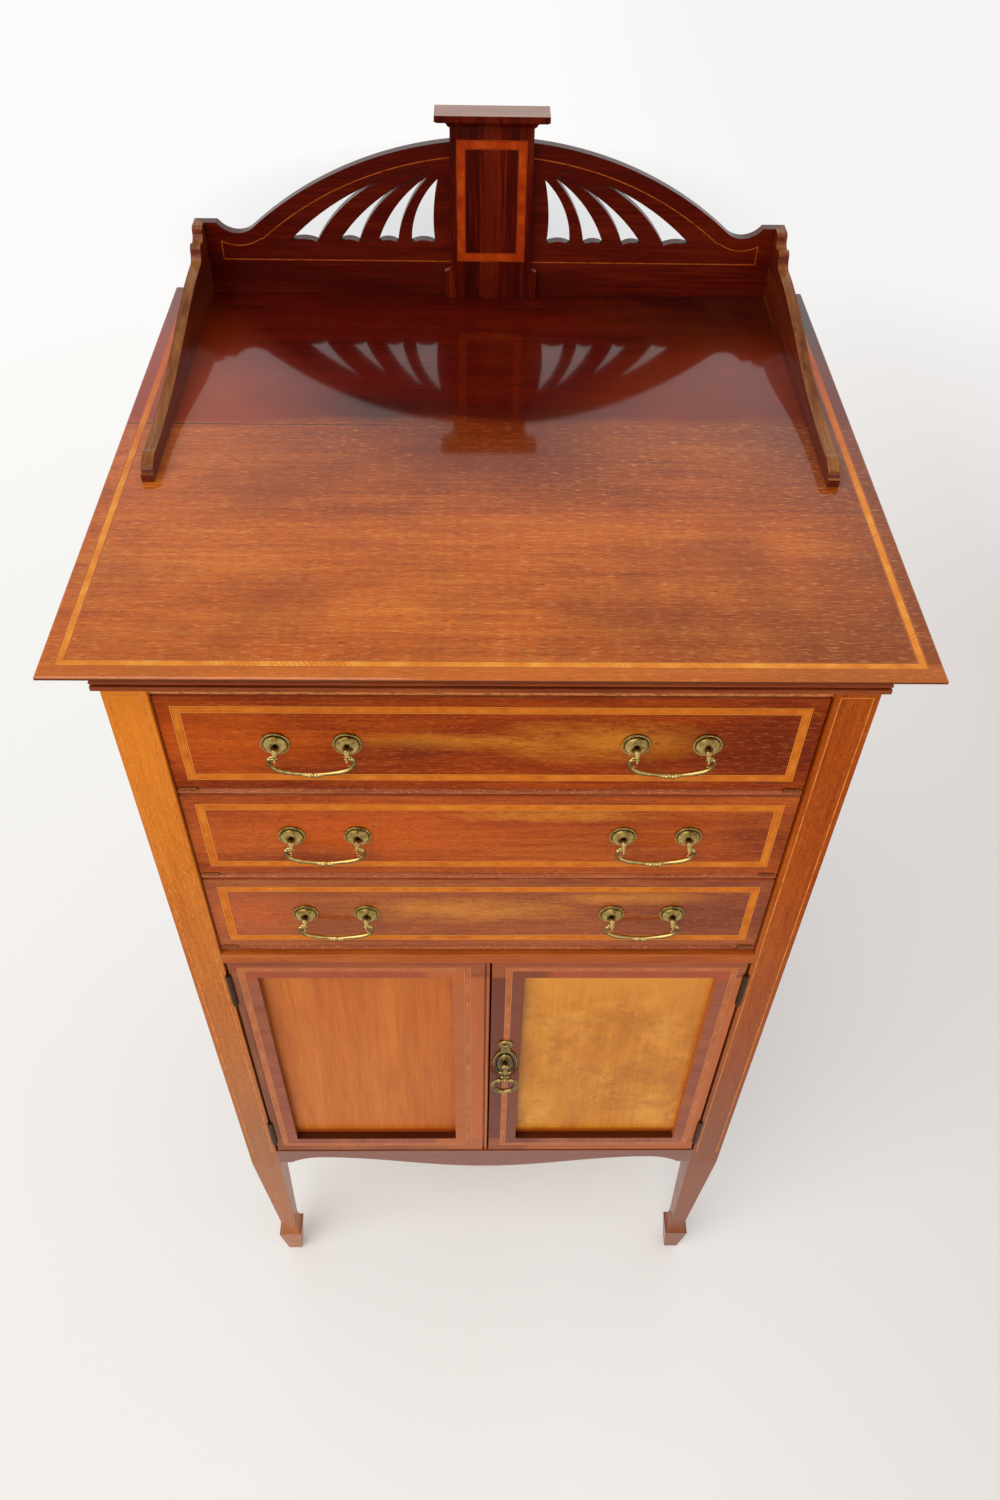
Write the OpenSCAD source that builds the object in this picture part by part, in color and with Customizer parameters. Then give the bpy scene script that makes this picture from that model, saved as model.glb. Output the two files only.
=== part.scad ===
// Inlaid music cabinet: gallery top, three fall-front music drawers, two-door cupboard, spade feet.
// Millimetres, +Z up. Origin at the middle of the footprint, on the floor. The front faces -Y.

/* [Case] */
// Width over the outer faces of the legs
case_w = 530; // [520:1:560]
// Depth over the front and back faces of the legs
case_d = 484; // [470:1:520]
// Height from the floor to the underside of the top
case_h = 1063; // [1055:1:1095]
// Side of the square legs
leg_w = 31; // [29:0.5:34]

/* [Feet] */
// Drop from the cupboard floor to where the legs begin to taper
taper_drop = 32; // [20:1:60]
// Height of the narrow neck above each spade foot
neck_z = 84; // [78:1:100]
// Width of the neck
neck_w = 17.5; // [14:0.5:22]
// Height of the widest line of the spade foot
spade_z = 58; // [40:1:66]
// Width of the spade foot at its widest line
spade_w = 27.5; // [24:0.5:29]
// Width of the toe that stands on the floor
toe_w = 16.5; // [12:0.5:22]
// How far the foot lies inward of the leg's own middle
foot_in = 2; // [0:0.5:4]

/* [Top and mouldings] */
// Thickness of the top
top_t = 15; // [12:0.5:20]
// Overhang of the top past the legs at the sides
side_over = 25.5; // [18:0.5:30]
// Overhang of the top past the legs at the front
front_over = 31; // [20:0.5:36]
// Overhang of the top past the legs at the back
back_over = 5; // [0:0.5:10]
// Height of the square lip on the edge of the top
lip_h = 3; // [2:0.5:6]
// Width of the hollow below that lip
undercut_w = 14; // [8:0.5:18]
// Height of the moulding under the top
bed_h = 23.4; // [18:0.2:26]
// Height of the flat member at its foot
bed_foot_h = 3.6; // [2.8:0.1:4.4]
// Height of the bead above that member
bed_bead_h = 4.2; // [3.6:0.1:4.8]
// How far the bead and the flat member stand out from the case
bed_out = 4.4; // [3.8:0.1:6]
// How far the plain part above the bead lies in from the bead
bed_step = 1.7; // [1:0.1:2.5]
// Height and depth of the quirk between the flat member and the bead
quirk = 1.4; // [0.8:0.1:1.6]

/* [Panels and boards] */
// Thickness of the side panels
side_t = 9; // [6:0.5:12]
// How far the side panels lie in from the legs' outer faces
side_in = 3; // [0:0.5:6]
// Thickness of the back panel
back_t = 6; // [4:0.5:9]
// How far the back panel lies in from the legs' back faces
back_in = 2; // [0:0.5:6]
// Thickness of the front rails and the apron
rail_t = 18; // [14:0.5:20]
// Height of the rail above the drawers
top_rail_h = 33; // [28:0.5:38]
// Height of the rail between the drawers and the doors
waist_rail_h = 14; // [10:0.5:20]
// Thickness of the board under the drawers
waist_board_t = 12; // [8:0.5:13]
// Thickness of the cupboard floor
floor_t = 15; // [12:0.5:18]
// Thickness of the cupboard shelf
shelf_t = 14; // [10:0.5:18]
// Height of the shelf's underside above the cupboard floor
shelf_rise = 180; // [120:1:240]
// Width and height of the shelf bearers
bearer_w = 13; // [10:0.5:18]
// How far the shelf's front edge lies behind the doors
shelf_back = 14; // [11:1:40]

/* [Apron] */
// Height of the apron at its brackets beside the legs
bracket_h = 29; // [26:0.5:34]
// Width of the flat under each bracket
bracket_w = 15; // [10:0.5:22]
// Height of the apron at its highest arch
arch_h = 16; // [12:0.5:20]
// Height of the apron at the middle
belly_h = 40; // [30:0.5:46]
// Run of the small curve from a bracket up to the arch
bracket_run = 34; // [24:0.5:44]

/* [Drawers] */
// Height of each fall front
fall_h = 95; // [90:0.5:98]
// Thickness of each fall front
fall_t = 16; // [14:0.5:18]
// How far the fall fronts lie behind the legs' front faces
fall_in = 3; // [2:0.5:5]
// Drop of the bevel along the back of a fall front's top edge, which clears the drawer above as it opens
fall_bevel = 1; // [0.8:0.1:3]
// Gap at each end of a fall front
end_gap = 1.2; // [0.8:0.1:2]
// Gap between the top rail and the first fall front
first_gap = 2.5; // [1.5:0.1:4]
// Gap between a fall front and the drawer bottom below it
fall_gap = 1.5; // [1.5:0.1:2]
// Gap between one drawer and the next
drawer_gap = 1; // [0.6:0.1:2]
// Thickness of the drawer bottoms, whose rounded edge shows below each fall front
bottom_t = 7; // [6:0.5:9]
// Length of each drawer from front to back
drawer_len = 440; // [380:1:445]
// Thickness of the drawer sides and backs
wall_t = 8; // [6:0.5:10]
// Height of the drawer sides and backs
wall_h = 78; // [60:1:80]
// Running gap between a drawer and what carries and guides it
run_gap = 0.3; // [0.2:0.05:0.6]
// Height of a drawer runner
runner_h = 12; // [8:0.5:13]
// How far a runner reaches in under its drawer
runner_in = 12; // [8:0.5:20]
// Height of the guide strip beside a drawer
guide_h = 14; // [8:0.5:24]

/* [Fall hinges] */
// Width of each small butt hinge
fall_hinge_w = 12; // [9:0.5:18]
// Distance from the end of the fall front to its hinge
fall_hinge_end = 3; // [1:0.5:20]
// Radius of the hinge knuckles
fall_knuckle_r = 1.5; // [1.3:0.05:1.6]
// Radius of the hinge pin
fall_pin_r = 0.6; // [0.5:0.05:0.7]
// Thickness of the hinge leaves
fall_leaf_t = 0.5; // [0.4:0.05:0.55]
// Depth of the hinge leaves from the knuckle to their back edge
fall_leaf_d = 11; // [8:0.5:13]

/* [Doors] */
// Height of the doors
door_h = 383; // [370:1:390]
// Thickness of the doors
door_t = 20; // [18:0.5:20]
// How far the doors lie behind the legs' front faces
door_in = 1; // [0.5:0.1:2]
// Gap between a door and its leg
door_side_gap = 2.5; // [2.4:0.1:3]
// Gap above the doors
door_top_gap = 1; // [0.8:0.1:2]
// Gap below the doors
door_low_gap = 1.5; // [1:0.1:2]
// Width of the hinge stile
hinge_stile_w = 24.5; // [20:0.5:30]
// Width of the meeting stile
meeting_stile_w = 29.5; // [26:0.5:34]
// Height of the doors' top rail
door_top_rail = 25; // [20:0.5:30]
// Height of the doors' bottom rail
door_low_rail = 28; // [24:0.5:34]
// How far the panels lie behind the door faces
panel_in = 8; // [5:0.5:9]
// Thickness of the door panels
panel_t = 6; // [4:0.5:7]
// Depth of the grooves that hold the panels
groove_d = 6; // [4:0.5:8]
// Width of the bead between the doors
bead_w = 3.4; // [2.5:0.1:4.5]
// Width of the sunk line beside that bead, and of the gap on its other side
quirk_w = 1.6; // [1.2:0.1:2]
// Depth of that sunk line
quirk_d = 3; // [2:0.1:5]
// Distance from the top and bottom of a door to its hinges
door_hinge_in = 19; // [12:0.5:50]
// Height of a door hinge
door_hinge_h = 50; // [40:1:60]
// Radius of the door hinge knuckles
door_knuckle_r = 2.5; // [2.3:0.05:2.7]
// Radius of the door hinge pins
door_pin_r = 1; // [0.8:0.05:1.2]
// Thickness of the door hinge leaves
door_leaf_t = 1.1; // [0.8:0.05:1.15]
// Depth of the door hinge leaves
door_leaf_d = 16; // [12:0.5:18]

/* [Drawer handles] */
// Distance from the middle of the cabinet to the middle of a handle
handle_x = 128.5; // [110:0.5:150]
// Distance between the two posts of a handle
post_pitch = 51; // [46:0.5:56]
// Height of the posts above the middle of a fall front
post_rise = 1.5; // [-2:0.5:3]
// Diameter of a rose
rose_d = 21.5; // [20:0.5:24]
// Thickness of a rose at its rim
rose_t = 1.4; // [1:0.1:2]
// Height of a rose's dome above its rim
dome_h = 4; // [2:0.1:4.6]
// Radius of the ball on the end of a post
ball_r = 3.8; // [3:0.1:4]
// Distance from the fall front to the bail's pivot
pivot_out = 10; // [9:0.5:12]
// Distance from the post's middle down to the bail's pivot
pivot_drop = 6.2; // [6:0.1:7]
// Outer radius of the eye that carries a bail
eye_r = 2.9; // [2.4:0.1:3]
// Thickness of that eye
eye_t = 2; // [1.6:0.1:2.4]
// Radius of a bail's pin
bail_pin_r = 1.2; // [1:0.05:1.4]
// Radius of a bail's bar
bail_r = 1.6; // [1.4:0.05:1.75]
// Depth of a bail from its pivot to the middle of its bar
bail_drop = 16; // [14:0.5:18]
// Size of the cut corners of a bail
bail_corner = 4; // [3:0.5:5]
// Slope of the bar where it meets those corners, in degrees
bail_slope = 13.5; // [8:0.5:16]
// Radius of the knop in the middle of a bail
knop_r = 2.6; // [2:0.1:3.2]
// Radius of the bolts that hold the posts
bolt_r = 2; // [1.5:0.1:2.5]
// Radius of the nuts on those bolts
nut_r = 4.5; // [4:0.1:5.5]
// Thickness of those nuts
nut_t = 2.6; // [2:0.1:3.5]

/* [Door handle] */
// Height of the oval plate's middle above the bottom of the door
plate_z = 203.5; // [120:0.5:280]
// Width of the oval plate
plate_w = 24; // [22:0.5:26]
// Height of the oval plate
plate_h = 49; // [46:0.5:54]
// Thickness of the plate
plate_t = 1.6; // [1.2:0.1:2.4]
// Width of its raised rim
plate_rim_w = 1.6; // [1.2:0.1:2]
// Height of that rim
plate_rim_h = 0.8; // [0.4:0.1:1.2]
// Width of the plate's dome, measured through its own middle
plate_dome_w = 18; // [16:0.5:19]
// Height of that dome, measured through its own middle
plate_dome_h = 40; // [36:0.5:42]
// How far that dome stands out from the plate
plate_dome_out = 5; // [3:0.5:6]
// Height of the knob above the plate's middle
knob_rise = 5; // [3:0.5:8]
// Radius of the knob
knob_r = 4.4; // [4:0.1:5]
// Diameter of the small pierced lobe on top of the plate
lobe_d = 14; // [12:0.5:16]
// Distance from the plate's middle to the lobe's middle
lobe_rise = 35.5; // [33:0.5:38]
// Width of the neck between the plate and the lobe
lobe_neck_w = 9; // [6:0.5:11]
// Diameter of the hole in the lobe
lobe_hole_d = 4.5; // [3:0.5:6]
// Distance from the door's face to the ring's pivot
ring_out = 9.5; // [9:0.5:12]
// Distance from the plate's middle down to the ring's pivot
ring_drop = 21; // [18:0.5:24]
// Radius of the stem from the knob down to the ring's eye
stem_r = 2.2; // [1.8:0.1:2.4]
// Half the length of the small bar across the stem
stem_bar_w = 4.6; // [3.6:0.1:5.4]
// Outer radius of the eye that carries the ring
ring_eye_r = 3.2; // [2.8:0.1:3.4]
// Radius of the ring's bar
ring_r = 2.3; // [1.9:0.05:2.5]
// Radius of the ring's pin
ring_pin_r = 1.5; // [1.2:0.05:1.7]
// Radius of the ring, to the middle of its bar
ring_bend = 12.2; // [11.2:0.2:13.2]
// Half the angle of the ring's open top, which its pin closes, in degrees
ring_open = 28; // [26:1:34]
// Radius of the knop at the bottom of the ring
ring_knop_r = 3.2; // [3:0.1:3.6]

/* [Gallery] */
// Thickness of the back gallery boards
gallery_t = 9; // [7:0.5:11]
// Thickness of the side gallery boards
wing_t = 9; // [8:0.5:12]
// Distance from the legs' outer faces in to the side galleries
wing_in = 2.5; // [0:0.5:6]
// Height of the gallery's ears
ear_h = 64; // [60:0.5:70]
// Height of the hollow beside each ear
hollow_h = 55; // [50:0.5:57]
// Radius of that hollow
hollow_r = 22; // [18:0.5:26]
// Height of the arch at the middle of the gallery
crest_h = 136; // [132:0.5:140]
// Radius of the arch
crest_r = 330; // [325:1:340]
// Distance from the middle to the outer foot of each piercing
slot_out = [179.5, 135.5, 100.5, 70.5]; // [45:0.5:190]
// Distance from the middle to the inner foot of each piercing
slot_inner = [155, 117.5, 83, 49.5]; // [40:0.5:180]
// Distance from the middle to the tip of each piercing
slot_tip_x = [58.5, 57, 56.5, 46.5]; // [42:0.5:70]
// Height of the tip of each piercing
slot_tip_z = [112, 107, 104, 103]; // [80:0.5:115]
// How far the outer edge of each piercing bows out
slot_bow_out = [10, 7.7, 6, 6.4]; // [1:0.1:14]
// How far the inner edge of each piercing bows out
slot_bow_in = [13.8, 10.5, 4.9, 2.5]; // [1:0.1:15]
// Height of the feet of the piercings
slot_foot_z = 48; // [42:0.5:56]
// Rise of the scalloped foot of each piercing
slot_scallop = 2.5; // [1:0.1:4]
// Width of the squared tip of each piercing
slot_tip_w = 1.2; // [0.8:0.1:2]

/* [Tablet] */
// Width of the tablet's shaft
tablet_w = 71; // [66:0.5:76]
// Width of the tablet's plinth
plinth_w = 82.5; // [80:0.5:88]
// Height of the plinth
plinth_h = 25; // [20:0.5:30]
// Thickness of the tablet in front of the gallery boards
tablet_out = 6; // [3:0.5:8]
// Height of the tablet below its cap
tablet_h = 148; // [145:0.5:155]
// Width of the cap
cap_w = 96; // [92:0.5:102]
// How far the cap stands out in front of the tablet
cap_out = 10; // [7:0.5:13]
// Height of the hollow moulding under the cap
cap_mould_h = 7; // [5:0.5:9]
// Height of the cap's square edge
cap_edge_h = 5; // [4:0.5:8]

/* [Side galleries] */
// Length of the side galleries from the back edge of the top
wing_len = 309; // [280:1:330]
// Height of the block at the front end
toe_block_h = 6; // [4:0.5:8]
// Height where the long slope begins
slope_low_h = 14; // [12:0.5:18]
// Height where the long slope ends
slope_high_h = 43; // [36:0.5:46]
// Distance from the front end to the start of the slope
slope_start = 22; // [18:0.5:30]
// Distance from the back edge to the end of the slope
slope_end = 46; // [40:0.5:56]
// Length of the flat ear at the back
ear_flat = 14; // [12:0.5:18]

/* [Hidden] */

$fn = 48;
DRAWERS = 3;
// Overshoot of cutting shapes past the faces that they cut
over = 1;
// Radial clearance of the pins in their bores
pin_fit = 0.05;
// Clearance of knuckles in the recesses cut for them, and between neighbouring knuckles
knuckle_gap = 0.3;
// Clearance of the panels in their grooves
groove_fit = 0.1;

front_y = -(front_over + case_d + back_over) / 2 + front_over;
back_y = front_y + case_d;
top_back_y = back_y + back_over;
top_front_y = front_y - front_over;
opening_w = case_w - 2 * leg_w;
panel_x = case_w / 2 - side_in - side_t;
panel_y = back_y - back_in - back_t;
top_z = case_h + top_t;

fall_w = opening_w - 2 * end_gap;
fall_y = front_y + fall_in;
drawer_pitch = fall_h + fall_gap + bottom_t + drawer_gap;
rail_z = case_h - top_rail_h;
function fall_z(k) = rail_z - first_gap - fall_h - (k - 1) * drawer_pitch;
function bottom_z(k) = fall_z(k) - fall_gap - bottom_t;
waist_z = bottom_z(DRAWERS) - drawer_gap - waist_rail_h;
waist_board_z = bottom_z(DRAWERS) - run_gap - waist_board_t;
door_z = waist_z - door_top_gap - door_h;
floor_z = door_z - door_low_gap;
shelf_z = floor_z + shelf_rise;
side_z = floor_z - bracket_h;
taper_z = floor_z - taper_drop;

wood_red = [0.45, 0.17, 0.08];
wood_brown = [0.55, 0.27, 0.12];
wood_gold = [0.72, 0.42, 0.18];
wood_plain = [0.62, 0.45, 0.28];
old_brass = [0.55, 0.45, 0.22];

function arc(cx, cy, r, from, to, steps) =
    [for (i = [0:steps]) let(a = from + (to - from) * i / steps) [cx + r * cos(a), cy + r * sin(a)]];

// An arc from p to q that bows out to the left of the way from p to q
function bow(p, q, rise, steps) =
    let(
        chord = norm(q - p),
        way = (q - p) / chord,
        out = [-way[1], way[0]],
        r = (chord * chord / 4 + rise * rise) / (2 * rise),
        centre = (p + q) / 2 + out * (rise - r),
        half = asin(chord / 2 / r)
    )
    [for (i = [0:steps]) let(t = half * (2 * i / steps - 1)) centre + r * (out * cos(t) + way * sin(t))];

function flip(points) = [for (i = [len(points) - 1:-1:0]) [-points[i][0], points[i][1]]];

// An outline in X and Z, made into a slab from one Y to another
module upright_x(points, from, to) {
    translate([0, to, 0]) rotate([90, 0, 0]) linear_extrude(to - from) polygon(points);
}

// An outline in Y and Z, made into a slab from one X to another
module upright_y(points, from, to) {
    translate([from, 0, 0]) rotate([90, 0, 90]) linear_extrude(to - from) polygon(points);
}

module box(low, high) {
    translate(low) cube(high - low);
}

module mirror_x(on) {
    if (on) mirror([1, 0, 0]) children();
    else children();
}

module mirror_y(on) {
    if (on) mirror([0, 1, 0]) children();
    else children();
}

// Legs
// Half widths and heights of a spade foot, from the floor up to the neck
function foot_side() =
    let(cove = (spade_w - neck_w) / 2, rise = neck_z - spade_z)
    concat(
        [[toe_w / 2, 0], [spade_w / 2, spade_z]],
        [for (a = [15:15:75]) [neck_w / 2 + cove * (1 - sin(a)), spade_z + rise * (1 - cos(a))]],
        [[neck_w / 2, neck_z]]
    );

function leg_outline() =
    let(
        side = foot_side(),
        inner = [for (p = side) [foot_in + p[0], p[1]]],
        outer = [for (p = flip(side)) [foot_in + p[0], p[1]]]
    )
    concat(
        inner,
        [[leg_w / 2, taper_z], [leg_w / 2, case_h], [-leg_w / 2, case_h], [-leg_w / 2, taper_z]],
        outer
    );

module leg() {
    intersection() {
        upright_x(leg_outline(), -leg_w, leg_w);
        upright_y(leg_outline(), -leg_w, leg_w);
    }
}

module placed_leg(right, back) {
    mirror_x(right)
        translate([-(case_w - leg_w) / 2, back ? back_y - leg_w / 2 : front_y + leg_w / 2, 0])
            mirror_y(back) leg();
}

module leg_front(right) {
    color(wood_gold) difference() {
        placed_leg(right, false);
        mirror_x(right) door_knuckle_recesses();
    }
}

module leg_back(right) {
    color(wood_brown) placed_leg(right, true);
}

// Case panels and boards
module side_panel(right) {
    color(wood_red) mirror_x(right)
        box([-panel_x - side_t, front_y + leg_w, side_z], [-panel_x, back_y - leg_w, case_h]);
}

module back_panel() {
    color(wood_plain) box([-opening_w / 2, panel_y, side_z], [opening_w / 2, panel_y + back_t, case_h]);
}

// A board as wide as the side panels allow, notched round the legs that it meets
module case_board(low_y, low, high) {
    difference() {
        box([-panel_x, low_y, low], [panel_x, panel_y, high]);
        for (right = [false, true]) mirror_x(right) {
            box([-case_w / 2, front_y - over, low - over], [-opening_w / 2, front_y + leg_w, high + over]);
            box([-case_w / 2, back_y - leg_w, low - over], [-opening_w / 2, back_y + over, high + over]);
        }
    }
}

module cupboard_floor() {
    color(wood_plain) case_board(front_y + rail_t, floor_z - floor_t, floor_z);
}

// The board under the drawers, with the strip below it that the doors close against
stop_w = 0.75 * opening_w / 2;
stop_t = 8;
stop_h = 14;
module waist_board() {
    stop_y = front_y + door_in + door_t + run_gap;
    color(wood_plain) {
        case_board(front_y + rail_t, waist_board_z, waist_board_z + waist_board_t);
        box([-stop_w, stop_y, waist_board_z - stop_h], [stop_w, stop_y + stop_t, waist_board_z]);
    }
}

module shelf() {
    color(wood_plain) case_board(front_y + door_in + door_t + shelf_back, shelf_z, shelf_z + shelf_t);
}

bearer_end = 10;
module shelf_bearers() {
    color(wood_plain) for (right = [false, true]) mirror_x(right)
        box([-panel_x, front_y + leg_w + bearer_end, shelf_z - bearer_w],
            [-panel_x + bearer_w, back_y - leg_w - bearer_end, shelf_z]);
}

// Front rails and apron
module top_rail() {
    color(wood_red) box([-opening_w / 2, fall_y, rail_z], [opening_w / 2, fall_y + rail_t, case_h]);
}

module waist_rail() {
    color(wood_brown) box(
        [-opening_w / 2, front_y, waist_z],
        [opening_w / 2, front_y + rail_t, waist_z + waist_rail_h]
    );
}

// Right half of the apron's lower edge, from the middle to the leg, as heights below the floor
function apron_edge() =
    let(
        half = opening_w / 2,
        crown = half - bracket_w - bracket_run,
        belly = [for (i = [0:12]) let(t = i / 12)
            [crown * t, -(arch_h + (belly_h - arch_h) * (1 + cos(180 * t)) / 2)]],
        scroll = bow([crown, -arch_h], [half - bracket_w - 3, -(bracket_h - 3)], 2.5, 5)
    )
    concat(belly, [for (i = [1:5]) scroll[i]], [[half - bracket_w, -bracket_h], [half, -bracket_h]]);

module apron() {
    edge = apron_edge();
    half = opening_w / 2;
    left_edge = flip([for (i = [1:len(edge) - 1]) edge[i]]);
    outline = concat(edge, [[half, 0], [-half, 0]], left_edge);
    color(wood_brown) translate([0, 0, floor_z]) upright_x(outline, front_y, front_y + rail_t);
}

// Top and the moulding under it
// Section of one moulded edge of the top, outermost point at 0
function top_edge() =
    concat(
        [for (i = [0:6]) let(a = 90 * i / 6) [-undercut_w * cos(a), (top_t - lip_h) * sin(a)]],
        [[0, top_t - 0.8], [-0.8, top_t]]
    );

module top_board() {
    edge = top_edge();
    half = case_w / 2 + side_over;
    right = [for (p = edge) [half + p[0], p[1]]];
    front = [for (p = edge) [-(p[0]) + top_front_y, p[1]]];
    color(wood_red) translate([0, 0, case_h]) intersection() {
        upright_x(concat(right, flip(right)), top_front_y, top_back_y);
        upright_y(concat([[top_back_y, 0]], front, [[top_back_y, top_t]]), -half, half);
    }
}

// Section of the moulding below, by distance from the case and height: a flat foot, a quirk, a bead and a
// plain part behind them
function bed_edge() =
    let(r = bed_bead_h / 2, bead_z = bed_foot_h + quirk, plain = bed_out - bed_step, groove = plain - quirk)
    concat(
        [[bed_out, 0], [bed_out, bed_foot_h], [groove, bed_foot_h], [groove, bead_z]],
        arc(bed_out - r, bead_z + r, r, -90, 90, 8),
        [[plain, bead_z + bed_bead_h], [plain, bed_h]]
    );

module bed_mould() {
    edge = bed_edge();
    half = case_w / 2;
    right = [for (p = edge) [half + p[0], p[1]]];
    front = [for (p = edge) [front_y - p[0], p[1]]];
    color(wood_red) translate([0, 0, case_h - bed_h]) difference() {
        intersection() {
            upright_x(concat(right, flip(right)), front_y - bed_out, back_y);
            upright_y(concat([[back_y, 0]], front, [[back_y, bed_h]]), -half - bed_out, half + bed_out);
        }
        box([-half, front_y, -over], [half, back_y + over, bed_h + over]);
    }
}

// Drawer runners and guides
module runners(right) {
    color(wood_plain) mirror_x(right) for (k = [1:DRAWERS]) {
        seat_z = bottom_z(k) - run_gap;
        low_y = front_y + leg_w;
        high_y = back_y - leg_w;
        if (k < DRAWERS) box([-panel_x, low_y, seat_z - runner_h], [-fall_w / 2 + runner_in, high_y, seat_z]);
        box([-panel_x, low_y, seat_z], [-fall_w / 2 - run_gap, high_y, seat_z + guide_h]);
    }
}

// Drawers
module drawer_bottom(k) {
    nose = bottom_t / 2;
    color(wood_brown) translate([0, 0, bottom_z(k)]) {
        box([-fall_w / 2, fall_y + nose, 0], [fall_w / 2, fall_y + drawer_len, bottom_t]);
        translate([-fall_w / 2, fall_y + nose, nose]) rotate([0, 90, 0]) cylinder(r = nose, h = fall_w);
    }
}

module drawer_box(k) {
    wall_y = fall_y + fall_t + run_gap;
    high_y = fall_y + drawer_len;
    color(wood_plain) translate([0, 0, bottom_z(k) + bottom_t]) difference() {
        box([-fall_w / 2, wall_y, 0], [fall_w / 2, high_y, wall_h]);
        box(
            [-fall_w / 2 + wall_t, wall_y - over, -over],
            [fall_w / 2 - wall_t, high_y - wall_t, wall_h + over]
        );
    }
}

// Fall fronts and their small butt hinges
function fall_axis_z(k) = fall_z(k) - fall_gap / 2;
fall_hinge_x = fall_w / 2 - fall_hinge_end - fall_hinge_w / 2;

module across(r, from, to) {
    translate([from, 0, 0]) rotate([0, 90, 0]) cylinder(r = r, h = to - from);
}

// One hinge half at the origin, on the pin's axis: the leaf lies level, up or down from the axis
module fall_hinge_half(outer, up) {
    third = fall_hinge_w / 3;
    leaf_low = up ? fall_gap / 2 - fall_leaf_t : -fall_gap / 2;
    clear = fall_knuckle_r + knuckle_gap;
    spans = outer ? [[-1.5, -0.5], [0.5, 1.5]] : [[-0.5, 0.5]];
    trim = knuckle_gap / 2;
    box([-fall_hinge_w / 2, clear, leaf_low], [fall_hinge_w / 2, fall_leaf_d, leaf_low + fall_leaf_t]);
    for (s = spans) {
        from = s[0] * third + (s[0] > -1.5 ? trim : 0);
        to = s[1] * third - (s[1] < 1.5 ? trim : 0);
        across(fall_knuckle_r, from, to);
        box([from, 0, leaf_low], [to, clear + over, leaf_low + fall_leaf_t]);
    }
}

module fall_hinge_leaf(k) {
    color(old_brass) for (s = [-1, 1]) translate([s * fall_hinge_x, fall_y, fall_axis_z(k)]) {
        fall_hinge_half(true, false);
        across(fall_pin_r, -fall_hinge_w / 2, fall_hinge_w / 2);
    }
}

module fall_hinge_flap(k) {
    color(old_brass) for (s = [-1, 1]) translate([s * fall_hinge_x, fall_y, fall_axis_z(k)]) difference() {
        fall_hinge_half(false, true);
        across(fall_pin_r + pin_fit, -fall_hinge_w, fall_hinge_w);
    }
}

function post_z(k) = fall_z(k) + fall_h / 2 + post_rise;
posts = [for (s = [-1, 1]) for (t = [-1, 1]) s * handle_x + t * post_pitch / 2];

module fall_front(k) {
    color(wood_red) difference() {
        translate([0, fall_y, fall_z(k)]) upright_y([
            [0, 0], [0, fall_h], [fall_t / 2, fall_h], [fall_t, fall_h - fall_bevel], [fall_t, 0]
        ], -fall_w / 2, fall_w / 2);
        for (s = [-1, 1]) translate([s * fall_hinge_x, fall_y, fall_axis_z(k)])
            across(
                fall_knuckle_r + knuckle_gap,
                -fall_hinge_w / 2 - knuckle_gap,
                fall_hinge_w / 2 + knuckle_gap
            );
        for (x = posts) translate([x, fall_y, post_z(k)]) rotate([-90, 0, 0])
            translate([0, 0, -over]) cylinder(r = bolt_r + pin_fit, h = fall_t + 2 * over);
    }
}

// Drawer handles
// A turned rose with its post, ball and eye; the fall front's face is the plane y = 0
module rose() {
    rim = rose_d / 2;
    dome_r = rim - 2.4;
    difference() {
        union() {
            rotate([90, 0, 0]) rotate_extrude() polygon(concat(
                [[0, 0], [rim, 0], [rim, rose_t - 0.5], [rim - 0.5, rose_t]],
                [[rim - 2, rose_t], [dome_r, rose_t - 0.4]],
                [for (i = [1:7]) let(a = 90 * i / 8)
                    [2.2 + (dome_r - 2.2) * cos(a), rose_t - 0.4 + dome_h * sin(a)]],
                [[2.2, rose_t - 0.4 + dome_h], [2.2, pivot_out - 2], [0, pivot_out - 2]]));
            translate([0, -(pivot_out - 1.5), 0]) sphere(r = ball_r);
            translate([0, -pivot_out, -pivot_drop]) across(eye_r, -eye_t / 2, eye_t / 2);
            rotate([-90, 0, 0]) cylinder(r = bolt_r, h = fall_t + nut_t + 1);
            translate([0, fall_t, 0]) rotate([-90, 0, 0]) cylinder(r = nut_r, h = nut_t, $fn = 6);
        }
        translate([0, -pivot_out, -pivot_drop]) across(bail_pin_r + pin_fit, -rose_d, rose_d);
    }
}

module roses(k) {
    color(old_brass) for (x = posts) translate([x, fall_y, post_z(k)]) rose();
}

// A bar bent round part of a circle in the X-Z plane
module bent_bar(x, z, bend, r, from, to) {
    translate([x, 0, z]) rotate([90, 0, 0]) rotate([0, 0, from])
        rotate_extrude(angle = to - from) translate([bend, 0]) circle(r = r, $fn = 24);
}

// A straight bar between two points of the X-Z plane
module straight_bar(p, q, r) {
    way = q - p;
    translate([p[0], 0, p[1]]) rotate([0, atan2(way[0], way[1]), 0]) cylinder(r = r, h = norm(way), $fn = 24);
}

// A round button that holds the ends of the bars that meet at a point
module button(p, r) {
    translate([p[0], r, p[1]]) rotate([90, 0, 0]) cylinder(r = r + 0.1, h = 2 * r, $fn = 32);
}

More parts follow.
